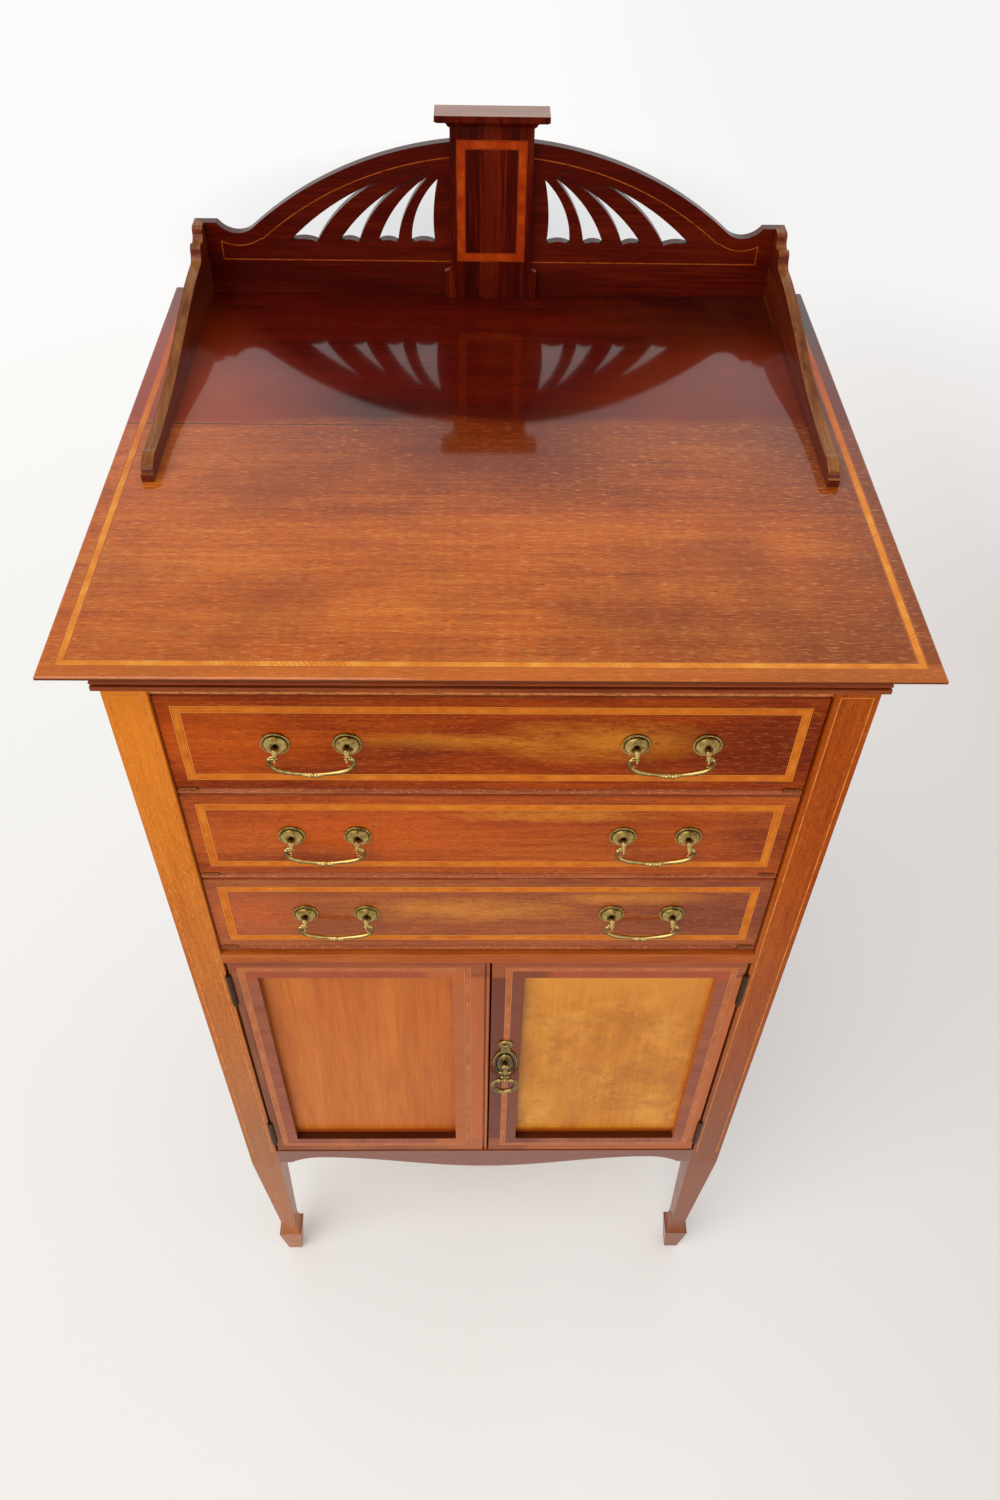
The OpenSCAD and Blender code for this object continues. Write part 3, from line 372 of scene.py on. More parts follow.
def rear_board(s, across, depth):
    """Dark red, partly a painted reflection and shade of the gallery, with a painted sheen of the pale
    surroundings beside it; darkest in the right corner.
    """
    colour = wood_tone(s, ((46, 3, 0), (72, 7, 1), (98, 15, 3)), "x", figure=9.0, offset=0.3)
    # Painted sheen: the pale surroundings reflected in the polish beside the gallery's reflection, strongest
    # on the left.
    sideways = s.math("ABSOLUTE", s.math("ADD", across, 0.03))
    painted_sheen_beside = s.window(s.math("SUBTRACT", sideways, s.times(depth, 0.8)), 0.02, 0.13)
    colour = s.lay(colour, (160, 54, 10), painted_sheen_beside, s.window(across, 0.62, -0.3))
    corner = s.times(s.window(across, 0.08, 0.2), s.window(depth, 0.12, 0.2))
    return s.lay(colour, (34, 6, 4), corner, 0.8)


def top_wood():
    """A front board, faded and lightened by a painted sheen, and a dark red rear one that carries a painted
    reflection of the gallery, with their joint open on the left.
    """
    s = Surface("top_mahogany")
    across, depth, up = s.split(s.place)
    wander = s.times(s.math("SUBTRACT", s.noise(9.0, detail=3.0), 0.5), 0.03)
    behind_joint = s.window(s.math("ADD", depth, wander), BOARD_JOINT - 3 * MM, BOARD_JOINT + 14 * MM)
    colour = s.mix(behind_joint, front_board(s, across, depth), rear_board(s, across, depth))
    # Painted reflection: the dark tablet mirrored in the polish on the board before it.
    tablet_shade = s.spot((-0.005, BOARD_JOINT - 26 * MM, TOP_Z), (0.1, 0.07, 1.0))
    colour = s.lay(colour, (96, 24, 4), s.window(tablet_shade, 0.0, 0.6), 0.6)
    stain = s.window(s.noise(7.0, detail=6.0, roughness=0.7), 0.48, 0.68)
    colour = s.lay(colour, (104, 38, 10), stain, 0.42)
    colour = s.lay(colour, (226, 124, 34), s.window(depth, -0.243, -0.247), 0.4)
    from_joint = s.math("ABSOLUTE", s.math("SUBTRACT", depth, BOARD_JOINT))
    line = s.times(s.window(from_joint, 0.9 * MM, 0.4 * MM), s.window(across, -0.02, -0.1))
    colour = s.lay(colour, (36, 8, 4), line, 0.85)
    # Painted shade: the moulded edge and underside below the top face are laid dark and lose most of their
    # coat.
    below = s.window(up, TOP_Z - 0.8 * MM, TOP_Z - 2 * MM)
    colour = s.lay(colour, (84, 32, 12), below, 0.9)
    coat = s.math("SUBTRACT", 1.0, s.times(below, 0.92))
    return polished(s, colour, 0.3, coat, wear=(168, 92, 42), wear_share=0.4, gloss=0.07)


def gallery_wood():
    s = Surface("gallery_mahogany")
    colour = wood_tone(s, ((64, 9, 1), (86, 14, 3), (112, 29, 8)), "x", offset=2.1)
    up = s.window(s.facing(2), 0.3, 0.9)
    colour = s.lay(colour, (44, 24, 20), up, 0.6)
    coat = s.math("ADD", 0.08, s.times(up, 0.45))
    return polished(s, colour, 0.34, coat, wear=(112, 44, 26), wear_share=0.35)


def tablet_wood():
    """Upright streaks with a lighter one in the middle, and a dull, rubbed cap."""
    s = Surface("tablet_mahogany")
    colour = wood_tone(s, ((44, 3, 0), (82, 10, 1), (118, 30, 6)), "z", figure=34.0, offset=7.3)
    off_middle = s.math("ABSOLUTE", s.math("ADD", s.split(s.place)[0], 1 * MM))
    colour = s.lay(colour, (120, 36, 10), s.window(off_middle, 9 * MM, 1 * MM), 0.35)
    up = s.window(s.facing(2), 0.5, 0.95)
    colour = s.mix(up, colour, wood_tone(s, ((124, 78, 58), (148, 96, 74), (168, 112, 88)), "x", offset=3.0))
    return polished(s, colour, 0.34, s.math("ADD", 0.08, s.times(up, 0.8)), wear=(128, 56, 30))


def wing_wood():
    """Dark sides, with paler upper edges: rubbed, and a painted highlight where they face up."""
    s = Surface("wing_mahogany")
    colour = wood_tone(s, ((84, 22, 8), (110, 40, 16), (134, 60, 28)), "y", offset=3.3)
    # Faces that look up are laid paler: wear, with a painted highlight.
    rubbed = s.window(s.math("ADD", s.facing(2), s.times(s.noise(60.0), 0.3)), 0.6, 1.0)
    ochre = wood_tone(s, ((100, 54, 24), (142, 86, 42), (170, 112, 60)), "y", figure=30.0, offset=0.8)
    colour = s.lay(colour, ochre, rubbed, 0.85)
    return polished(s, colour, 0.36, 0.3, wear=(132, 74, 42))


FALL_TONES = {
    1: ((126, 36, 2), (158, 60, 4), (184, 80, 12)),
    2: ((146, 52, 8), (172, 74, 14), (192, 94, 26)),
    3: ((126, 50, 14), (154, 70, 20), (174, 90, 32)),
}
FALL_COATS = {1: 0.0, 2: 0.1, 3: 0.3}

# Bleached, rusty and shaded places of each front as they lie in the photograph: millimetres across
# and up from its middle, half their width and height, and their tone
GOLD, RUST, SHADE = (224, 140, 40), (212, 92, 18), (98, 28, 4)
FALL_SPOTS = {
    1: (
        (80, 4, 120, 34, GOLD),
        (-40, 4, 100, 14, GOLD),
        (-190, 0, 100, 60, RUST),
        (200, 0, 100, 60, SHADE),
        (-60, -8, 60, 24, SHADE),
    ),
    2: (
        (-100, 10, 220, 60, RUST),
        (50, 26, 120, 12, GOLD),
        (220, 0, 60, 50, SHADE),
        (-150, -30, 100, 16, SHADE),
    ),
    3: (
        (-20, 6, 150, 26, GOLD),
        (120, 22, 100, 14, GOLD),
        (-200, 0, 80, 50, RUST),
        (190, -6, 110, 44, SHADE),
    ),
}


def fall_spots(k):
    middle = fall_z(k) + FALL_H / 2
    for x, up, wide, tall, tone in FALL_SPOTS[k]:
        yield (x * MM, FALL_Y, middle + up * MM), (wide * MM, 0.1, tall * MM), tone


def fall_wood(k):
    """Red mahogany with the uneven colour of each front, and a paler upper edge: scratched and rubbed, with
    a painted sheen.
    """
    s = Surface("fall_mahogany_%d" % k)
    colour = patched(s, wood_tone(s, FALL_TONES[k], "x", figure=15.0, offset=1.1 * k), fall_spots(k), 0.62)
    colour = dashed(s, colour, 0.2, (232, 138, 58), 0.22)
    specks = s.window(s.noise(610.0, s.scaled((0.3, 1, 1)), detail=2.0), 0.57, 0.7)
    colour = s.lay(colour, (92, 26, 6), specks, 0.4)
    # The upper edge that faces up is laid pale: real scratches and rubbing, and a painted sheen of the pale
    # surroundings.
    scratches = s.window(s.noise(260.0, s.scaled((0.12, 1, 1)), detail=4.0), 0.5, 0.7)
    rubbed = s.lay((176, 86, 44), (218, 142, 96), scratches, 0.5)
    colour = s.mix(s.window(s.facing(2), 0.7, 0.95), colour, rubbed)
    return polished(s, colour, 0.38, FALL_COATS[k], wear=(150, 70, 34), wear_share=0.2)


def right_meeting(s, across, width):
    """1 on the strip of the right door that meets the left one, up to about a width from the middle."""
    return s.times(s.window(across, 2 * MM, 3 * MM), s.window(across, width, width - 10 * MM))


def door_wood():
    """Doorframes: redder from the left one's meeting stile on, and dark on the right one's."""
    s = Surface("door_mahogany")
    upright = wood_tone(s, ((118, 56, 26), (148, 80, 40), (172, 102, 54)), "z", offset=0.9)
    level = wood_tone(s, ((138, 60, 24), (164, 82, 34), (182, 102, 48)), "x", offset=1.3)
    across, _, up = s.split(s.place)
    upright = s.lay(upright, (206, 104, 42), s.window(across, -50 * MM, -36 * MM), 0.6)
    upright = s.mix(right_meeting(s, across, 50 * MM), upright, (112, 50, 24))
    top_rail = s.window(up, PANEL_HIGH - 1 * MM, PANEL_HIGH + 1 * MM)
    low_rail = s.window(up, PANEL_LOW + 1 * MM, PANEL_LOW - 1 * MM)
    colour = s.mix(s.math("MAXIMUM", top_rail, s.times(low_rail, 0.6)), upright, level)
    # Painted shade and reflection: the ledge under each panel is laid nearly black.
    from_ledge = s.math("ABSOLUTE", s.math("SUBTRACT", up, PANEL_LOW))
    ledge = s.times(s.window(s.facing(2), 0.5, 0.9), s.window(from_ledge, 2 * MM, 1 * MM))
    colour = s.lay(colour, (58, 12, 2), ledge, 0.9)
    return polished(s, colour, 0.38, 0.26, wear=(160, 100, 70), wear_share=0.4)


def left_panel(s):
    """Even and orange, a little redder in places."""
    tones = ((182, 90, 22), (198, 104, 28), (210, 118, 38))
    colour = wood_tone(s, tones, "z", figure=16.0, offset=0.2, pore_share=0.15)
    reds = s.window(s.noise(12.0, s.scaled((1, 1, 0.2)), detail=3.0), 0.5, 0.75)
    return s.lay(colour, (164, 70, 18), reds, 0.5)


def right_panel(s):
    """Yellower, mottled and scratched, and brightest along its top."""
    tones = ((200, 120, 28), (212, 134, 36), (224, 148, 48))
    colour = wood_tone(s, tones, "z", figure=8.0, offset=5.2, pore_share=0.1)
    mottled = s.window(s.noise(24.0, detail=6.0, roughness=0.7, distortion=0.5), 0.48, 0.68)
    colour = s.lay(colour, (174, 94, 24), mottled, 0.6)
    golden = s.window(s.noise(17.0, s.scaled((1, 1, 0.7)), detail=5.0, roughness=0.7), 0.5, 0.66)
    colour = s.lay(colour, (242, 170, 70), golden, 0.5)
    spots = s.window(s.noise(95.0, s.scaled((1, 1, 0.7)), detail=4.0, roughness=0.7), 0.6, 0.72)
    colour = s.lay(colour, (146, 74, 16), spots, 0.45)
    slant = {"Vector": s.place, "Rotation": (0, radians(-14), 0)}
    slanted = s.add("ShaderNodeMapping", slant).outputs[0]
    scratch = s.noise(90.0, s.scaled((0.06, 1, 1), slanted), detail=1.0)
    thin = s.window(s.math("ABSOLUTE", s.math("SUBTRACT", scratch, 0.5)), 0.008, 0.002)
    where = s.window(s.noise(9.0, detail=1.0), 0.52, 0.6)
    colour = s.lay(colour, (124, 62, 20), s.times(thin, where), 0.5)
    return s.lay(colour, (240, 158, 54), s.window(s.split(s.place)[2], 0.6, 0.68), 0.7)


def panel_wood(side):
    """A door's panel, with painted shade and reflection of the frame's rail darkening it where it meets the
    ledge.
    """
    s = Surface("panel_mahogany_" + side)
    colour = left_panel(s) if side == "left" else right_panel(s)
    # Painted shade and reflection at the panel's foot, above the ledge.
    low = s.window(s.split(s.place)[2], PANEL_LOW + 12 * MM, PANEL_LOW + 4 * MM)
    return polished(s, s.lay(colour, (150, 52, 4), low, 0.85), 0.4, 0.22)


def crossband():
    """Mahogany laid across the length of the border, by the strip's own coordinates."""
    s = Surface("crossband_mahogany")
    uv = s.add("ShaderNodeTexCoord").outputs["UV"]
    tones = ((138, 62, 34), (152, 76, 44), (166, 90, 54))
    colour = wood_tone(s, tones, "y", vector=s.scaled((1, 0.012, 1), uv), figure=30.0)
    across, _, up = s.split(s.place)
    colour = s.lay(colour, (176, 70, 14), s.window(up, PANEL_HIGH - 9 * MM, PANEL_HIGH - 5 * MM), 0.6)
    left_meeting = s.times(s.window(across, -60 * MM, -50 * MM), s.window(across, 0.0, -1 * MM))
    colour = s.lay(colour, (196, 104, 30), left_meeting, 0.6)
    colour = s.lay(colour, (112, 50, 18), right_meeting(s, across, 60 * MM), 0.7)
    return polished(s, colour, 0.38, 0.3, wear_share=0.0)


def banding(name, tones, edge_tone, line_tone, core, marks, coat=0.3, rear_tone=None):
    """Satinwood band between fine lines, with slanting marks here and there; it may redden to the rear."""
    s = Surface(name)
    along, across, _ = s.split(s.add("ShaderNodeTexCoord").outputs["UV"])
    middle = s.math("ABSOLUTE", s.math("SUBTRACT", across, 0.5))
    slanted = s.math("ADD", s.math("DIVIDE", along, 3.6 * MM), s.times(across, 1.3))
    wave = s.math("SINE", s.times(slanted, 2 * pi))
    sparse = s.window(s.noise(26.0, detail=2.0), 0.5, 0.64)
    tone = s.math("ADD", s.times(s.times(wave, marks), sparse), s.noise(70.0, detail=4.0))
    colour = s.ramp(tone, list(zip((0.3, 0.5, 0.72), tones)))
    colour = s.mix(s.window(middle, core, core + 0.02), colour, line_tone)
    colour = s.mix(s.window(middle, core + 0.06, core + 0.08), colour, edge_tone)
    if rear_tone:
        colour = s.lay(colour, rear_tone, s.window(s.split(s.place)[1], -0.08, 0.12), 0.75)
    s.set(Base_Color=colour, Roughness=0.36, Coat_Weight=coat, Coat_Roughness=0.12, Specular_IOR_Level=0.06)
    return s.material


def stringing(name, tone):
    s = Surface(name)
    lighter = tuple(min(255, c + 20) for c in tone)
    darker = tuple(max(0, c - 34) for c in tone)
    colour = s.ramp(s.noise(120.0, detail=4.0), [(0.3, darker), (0.5, tone), (0.72, lighter)])
    s.set(Base_Color=colour, Roughness=0.38, Coat_Weight=0.15, Coat_Roughness=0.12, Specular_IOR_Level=0.06)
    return s.material


def brass(name, dark, middle, bright, roughness=0.3, shade=0.0, up=0.36):
    """Old brass with painted light: sharp edges bright from rubbing and painted highlight, hollows dark from
    patina and painted shade; up paints a highlight on what faces upwards, and a negative up darkens it.
    """
    s = Surface(name)
    patch = s.noise(260.0, detail=5.0, roughness=0.65)
    pointed = s.window(s.add("ShaderNodeNewGeometry").outputs["Pointiness"], 0.46, 0.54)
    open_part = s.add("ShaderNodeAmbientOcclusion", {"Distance": 3 * MM}, samples=6).outputs["AO"]
    # Painted light: upward faces and sharp edges laid brighter as highlights and reflections; the edges are
    # partly rubbed.
    lit = s.math("ADD", s.times(s.facing(2), up), s.times(pointed, 0.3))
    # Darker in the hollows: patina and painted shade.
    hollow = s.times(s.window(open_part, 0.7, 0.25), 0.24)
    uneven = s.math("SUBTRACT", s.math("ADD", s.times(patch, 0.5), 0.25), hollow)
    share = s.math("ADD", lit, s.math("SUBTRACT", uneven, shade))
    s.set(Base_Color=s.ramp(share, [(0.22, dark), (0.5, middle), (0.84, bright)]), Metallic=1.0)
    s.vary_roughness(patch, roughness - 0.08, roughness + 0.16)
    pitted = {"Height": s.noise(520.0, detail=3.0), "Strength": 0.1, "Distance": 0.12 * MM}
    s.set(Normal=s.add("ShaderNodeBump", pitted).outputs[0])
    return s.material


# Mesh helpers
def finish_mesh(name, bm, material, body, replaced=(), smooth=True):
    """Makes a piece of a finished form, hangs it on the body that it rides on and hides the parts that it
    stands for.
    """
    bmesh.ops.recalc_face_normals(bm, faces=bm.faces)
    mesh = bpy.data.meshes.new(name)
    bm.to_mesh(mesh)
    bm.free()
    mesh.materials.append(material)
    piece = bpy.data.objects.new(name, mesh)
    bpy.context.scene.collection.objects.link(piece)
    if smooth:
        mesh.polygons.foreach_set("use_smooth", [True] * len(mesh.polygons))
        mesh.set_sharp_from_angle(angle=SHARP)
    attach(piece, body)
    if replaced:
        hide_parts(*replaced)


def on_front(y):
    """Places a point given by x and z on a face that looks to the front, and lifts it off by h."""
    return lambda a, b, h: Vector((a, y - h, b))


def on_top(z):
    """The same for a level face, and a point given by x and y."""
    return lambda a, b, h: Vector((a, b, z + h))


def strip_into(bm, place, path, width, closed):
    """Adds a flat inlay along a path, mitred at its corners, with coordinates along and across it."""
    layer = bm.loops.layers.uv.verify()
    count = len(path)
    points = [Vector(p) for p in path]
    rims = []
    for i, p in enumerate(points):
        before = points[i - 1] if (i or closed) else None
        after = points[(i + 1) % count] if (i < count - 1 or closed) else None
        ways = [w.normalized() for w in ([p - before] if before else []) + ([after - p] if after else [])]
        sides = [Vector((-w.y, w.x)) for w in ways]
        out = sum(sides, Vector((0, 0))).normalized()
        reach = width / 2 / max(0.3, out.dot(sides[0]))
        rims.append((p + out * reach, p - out * reach))
    lengths = [0.0]
    for i in range(1, count + (1 if closed else 0)):
        lengths.append(lengths[-1] + (points[i % count] - points[i - 1]).length)
    for i in range(count if closed else count - 1):
        (a1, a2), (b1, b2) = rims[i], rims[(i + 1) % count]
        start, way = points[i], (points[(i + 1) % count] - points[i]).normalized()
        top = [bm.verts.new(place(q.x, q.y, INLAY)) for q in (a1, a2, b2, b1)]
        low = [bm.verts.new(place(q.x, q.y, -INLAY)) for q in (a1, a2, b2, b1)]
        uvs = [(lengths[i] + (q - start).dot(way), v) for q, v in ((a1, 1), (a2, 0), (b2, 0), (b1, 1))]
        face = bm.faces.new(top)
        for loop, uv in zip(face.loops, uvs):
            loop[layer].uv = uv
        for m in range(4):
            n = (m + 1) % 4
            wall = bm.faces.new((top[m], low[m], low[n], top[n]))
            for loop, uv in zip(wall.loops, (uvs[m], uvs[m], uvs[n], uvs[n])):
                loop[layer].uv = uv
        bm.faces.new(low[::-1])


def inlay(name, body, place, path, width, material, closed=True):
    bm = bmesh.new()
    strip_into(bm, place, path, width, closed)
    finish_mesh(name, bm, material, body, smooth=False)


def rectangle(x0, x1, z0, z1, inset):
    left, right = x0 + inset, x1 - inset
    low, high = z0 + inset, z1 - inset
    return [(left, low), (right, low), (right, high), (left, high)]


def arc(centre, r, start, stop, steps):
    angles = [start + (stop - start) * i / steps for i in range(steps + 1)]
    return [(centre[0] + r * cos(a), centre[1] + r * sin(a)) for a in angles]


def tube(bm, path, radii, sides=14, flat=None):
    """A round bar along a path in space; flat gives a second radius square to the path's plane."""
    rings = []
    count = len(path)
    for i, p in enumerate(path):
        way = (path[min(i + 1, count - 1)] - path[max(i - 1, 0)]).normalized()
        side = Vector((0, 1, 0)) if abs(way.y) < 0.9 else Vector((1, 0, 0))
        other = way.cross(side).normalized()
        side = other.cross(way).normalized()
        r = radii[i]
        deep = flat[i] if flat else r
        rings.append([bm.verts.new(p + other * r * cos(a) + side * deep * sin(a))
                      for a in (2 * pi * j / sides for j in range(sides))])
    for a, b in zip(rings, rings[1:]):
        for j in range(sides):
            bm.faces.new((a[j], a[(j + 1) % sides], b[(j + 1) % sides], b[j]))
    bm.faces.new(rings[0][::-1])
    bm.faces.new(rings[-1])


def oval_form(bm, centre, levels, steps=40):
    """Stacked ovals along -Y; a level holds half a width, half a height and its height off the face."""
    rings = []
    for wide, tall, h in levels:
        if wide < 1e-6:
            rings.append([bm.verts.new(centre + Vector((0, -h, 0)))])
        else:
            rings.append([bm.verts.new(centre + Vector((wide * cos(a), -h, tall * sin(a))))
                          for a in (2 * pi * j / steps for j in range(steps))])
    for a, b in zip(rings, rings[1:]):
        for j in range(steps):
            n = (j + 1) % steps
            corners = [a[j % len(a)], a[n % len(a)], b[n % len(b)], b[j % len(b)]]
            corners = [c for i, c in enumerate(corners) if c not in corners[:i]]
            if len(corners) > 2:
                bm.faces.new(corners)


def turned(bm, centre, profile, steps=40):
    """A turned form along -Y; the profile holds distances from its axis and heights off the face."""
    oval_form(bm, centre, [(r, r, h) for r, h in profile], steps)


def wire_ring(bm, centre, r, wire, across, deep=None, steps=24, sides=8):
    """A closed ring of wire round an axis; across is the axis, deep the wire's second radius along it."""
    deep = deep or wire
    side = Vector((0, 0, 1))
    other = across.cross(side)
    loops = []
    for i in range(steps):
        out = side * cos(2 * pi * i / steps) + other * sin(2 * pi * i / steps)
        loops.append([bm.verts.new(centre + out * (r + wire * cos(b)) + across * deep * sin(b))
                      for b in (2 * pi * j / sides for j in range(sides))])
    for i, a in enumerate(loops):
        b = loops[(i + 1) % steps]
        for j in range(sides):
            bm.faces.new((a[j], a[(j + 1) % sides], b[(j + 1) % sides], b[j]))


def ball(bm, centre, r, steps=12, squash=(1, 1, 1)):
    shape = Matrix.Translation(centre) @ Matrix.Diagonal((*squash, 1))
    rows = max(6, steps // 2 + 2)
    bmesh.ops.create_uvsphere(bm, u_segments=steps, v_segments=rows, radius=r, matrix=shape)


def curve_points(points, steps=5):
    """A smooth curve through the points."""
    found = []
    ends = [points[0]] + list(points) + [points[-1]]
    for a, b, c, d in zip(ends, ends[1:], ends[2:], ends[3:]):
        for i in range(steps):
            t = i / steps
            found.append(0.5 * (2 * b + (c - a) * t + (2 * a - 5 * b + 4 * c - d) * t * t
                                + (3 * b - a - 3 * c + d) * t ** 3))
    return found + [points[-1]]


# Inlays
def add_top_banding(band):
    """A band inside the top's edge, which ends at the back."""
    width, inset, back_gap = 6.5 * MM, 13.25 * MM, 0.3 * MM
    x, front, back = TOP_HALF - inset, -BACK_Y + inset, BACK_Y - back_gap
    path = [(-x, back), (-x, front), (x, front), (x, back)]
    inlay("top_banding", "case", on_top(TOP_Z), path, width, band, closed=False)


def add_fall_banding(band):
    width, inset, past_edge = 6.5 * MM, 13.5 * MM, 1 * MM
    for k in DRAWERS:
        low, high = fall_z(k) - past_edge, fall_z(k) + FALL_H + past_edge
        path = rectangle(-FALL_HALF, FALL_HALF, low, high, inset)
        name, body = "fall_banding_%d" % k, "fall_%d" % k
        inlay(name, body, on_front(FALL_Y), path, width, band)


def door_opening(sign):
    x0, x1 = sorted((sign * (DOOR_OUT - HINGE_STILE), sign * (DOOR_MEET + MEETING_STILE)))
    return x0, x1, PANEL_LOW, PANEL_HIGH


def add_door_inlays(band, border):
    """A crossband round each door's opening, and a band round the crossband."""
    border_w, band_w, gap = 11 * MM, 5.8 * MM, 0.1 * MM
    face = on_front(DOOR_Y)
    for side, sign in SIDES.items():
        body = "door_" + side
        ring = rectangle(*door_opening(sign), -border_w / 2 - gap)
        inlay("door_crossband_" + side, body, face, ring, border_w, border)
        ring = rectangle(*door_opening(sign), -border_w - band_w / 2 - gap)
        inlay("door_banding_" + side, body, face, ring, band_w, band)


def add_leg_stringing(line):
    low, high, inset = 310 * MM, 1031.5 * MM, 4.2 * MM
    face = on_front(FRONT_Y)
    for side, sign in SIDES.items():
        x0, x1 = sorted((sign * (LEG_IN + inset), sign * (LEG_OUT - inset)))
        path = [(x0, low), (x0, high), (x1, high), (x1, low)]
        inlay("leg_stringing_" + side, "case", face, path, LINE_W, line, closed=False)


def add_gallery_stringing(line):
    """A line inside the gallery's outline: along the arch, round the hollow and back along the foot."""
    arch_r, hollow_r = 317.5 * MM, 33 * MM
    arch_z, hollow_z = TOP_Z - 194 * MM, TOP_Z + 77 * MM
    inner_x, end_x, foot_z = 36 * MM, 240 * MM, TOP_Z + 31.5 * MM
    crest_r, edge_r = 330 * MM, 22 * MM
    hollow_x = sqrt((crest_r + edge_r) ** 2 - (hollow_z - arch_z) ** 2)
    meet = atan2(hollow_z - arch_z, hollow_x)
    stop = 2 * pi - acos((end_x - hollow_x) / hollow_r)
    line_path = arc((0, arch_z), arch_r, acos(inner_x / arch_r), meet, 40)
    line_path += arc((hollow_x, hollow_z), hollow_r, meet + pi, stop, 14)[1:]
    line_path += [(end_x, foot_z), (inner_x, foot_z)]
    face = on_front(GALLERY_Y)
    for side, sign in SIDES.items():
        path = [(sign * x, z) for x, z in line_path]
        inlay("gallery_stringing_" + side, "case", face, path, LINE_W, line, closed=False)


def add_tablet_banding(band):
    half, low, high, width = 30 * MM, TOP_Z + 34.5 * MM, TOP_Z + 138 * MM, 7.5 * MM
    path = rectangle(-half, half, low, high, width / 2)
    inlay("tablet_banding", "case", on_front(TABLET_Y), path, width, band)


# Drawer handles
def rose_profile():
    """Flat seat, beaded rim, a swollen dome and a small stud."""
    rim, seat, dome, top, neck = 10.75 * MM, 0.9 * MM, 8.9 * MM, 5.2 * MM, 2 * MM
    lip = seat + 0.4 * MM
    profile = [(0, 0), (rim, 0), (rim, seat), (rim - 0.3 * MM, lip), (dome + 0.2 * MM, lip)]
    for i in range(11):
        a = i / 10 * pi / 2
        profile.append((max(neck, dome * cos(a) ** 0.8), seat + (top - seat) * sin(a) ** 0.9))
    stud = [(1.9, 6.0), (2.3, 6.6), (2.7, 7.6), (2.6, 8.9), (2.0, 9.9), (1.0, 10.5)]
    return profile + [(r * MM, h * MM) for r, h in stud] + [(0, 10.7 * MM)]


def add_roses(k, metal):
    """Four roses with their beads, the swan necks and eyes in front, and the bolts and nuts behind."""
    bm = bmesh.new()
    beads, bead_out, bead_h, bead_r = 32, 9.9 * MM, 1.4 * MM, 0.72 * MM
    bolt_r, bolt_past, nut_r, nut_t = 2 * MM, 3.6 * MM, 4.5 * MM, 2.6 * MM
    for side in SIDES.values():
        for end in (-1, 1):
            centre = Vector((side * HANDLE_X + end * POST_PITCH / 2, FALL_Y, post_z(k)))
            turned(bm, centre, rose_profile())
            for i in range(beads):
                a = 2 * pi * i / beads
                ball(bm, centre + Vector((bead_out * cos(a), -bead_h, bead_out * sin(a))), bead_r, 6)
            eye = centre + Vector((0, -PIVOT_OUT, -PIVOT_DROP))
            neck = [centre + Vector((0, -8 * MM, -0.6 * MM)), centre + Vector((0, -9.4 * MM, -2.4 * MM))]
            tube(bm, neck + [eye + Vector((0, 0, 1.6 * MM))], [2.1 * MM, 1.9 * MM, 1.5 * MM], 12)
            wire_ring(bm, eye, 2.1 * MM, 0.9 * MM, Vector((1, 0, 0)))
            back = centre + Vector((0, FALL_T, 0))
            tube(bm, [centre, back + Vector((0, bolt_past, 0))], [bolt_r] * 2, 16)
            tube(bm, [back, back + Vector((0, nut_t, 0))], [nut_r] * 2, 6)
    finish_mesh("handle_roses_%d" % k, bm, metal, "fall_%d" % k, ["roses_%d" % k])


def add_bail(k, side, metal):
    """A swan-neck bail: pins, curled shoulders, a sagging bar that swells, and a leaf in the middle."""
    sign = SIDES[side]
    pivot = Vector((sign * HANDLE_X, FALL_Y - PIVOT_OUT, post_z(k) - PIVOT_DROP))
    bm = bmesh.new()
    half = [(26.4, 2.2), (28.6, 1.9), (30.0, -0.9), (30.1, -4.6), (28.6, -8.4), (25.2, -11.2), (20, -13.2),
            (13, -14.7), (6, -15.7), (0, -16)]
    points = [Vector((-x * MM, 0, z * MM)) for x, z in half]
    points += [Vector((x * MM, 0, z * MM)) for x, z in reversed(half[:-1])]
    path = [pivot + p for p in curve_points(points)]
    radii = []
    for p in path:
        x, up = abs(p.x - pivot.x) / MM, (p.z - pivot.z) / MM
        swell = 0.5 * max(0, 1 - abs(x - 20) / 9) + 0.3 * max(0, 1 - x / 8)
        radii.append((1.0 if up > 1 else 1.6 + swell) * MM)
    tube(bm, path, radii)
    pin_in, pin_out, pin_r = 23.7 * MM, 29.2 * MM, 1.2 * MM
    curl_x, curl_z, curl_r, curl_steps = 26.4 * MM, -8.6 * MM, 1.9 * MM, 12
    for end in (-1, 1):
        inner = pivot + Vector((end * pin_in, 0, 0))
        outer = pivot + Vector((end * pin_out, 0, 0))
        tube(bm, [inner, outer], [pin_r] * 2, 12)
        ball(bm, outer, 1.8 * MM, 14, (0.8, 1, 1))
        curl = [pivot + Vector((end * (curl_x - curl_r * cos(a)), 0, curl_z + curl_r * sin(a)))
                for a in (-pi * 0.55 - i * 0.33 for i in range(curl_steps))]
        tube(bm, curl, [(1.1 - 0.06 * i) * MM for i in range(curl_steps)], 8)
        for i in range(3):
            leaf = pivot + Vector((end * (2.4 + 2.3 * i) * MM, -0.7 * MM, (-16.4 + 0.25 * i) * MM))
            ball(bm, leaf, (2.3 - 0.45 * i) * MM, 10, (1.0, 0.9, 0.85))
    ball(bm, pivot + Vector((0, -1.0 * MM, -BAIL_DROP)), 1.7 * MM, 12, (0.8, 1, 1.2))
    name = "bail_%d_%s" % (k, side)
    finish_mesh("handle_" + name, bm, metal, name, [name])


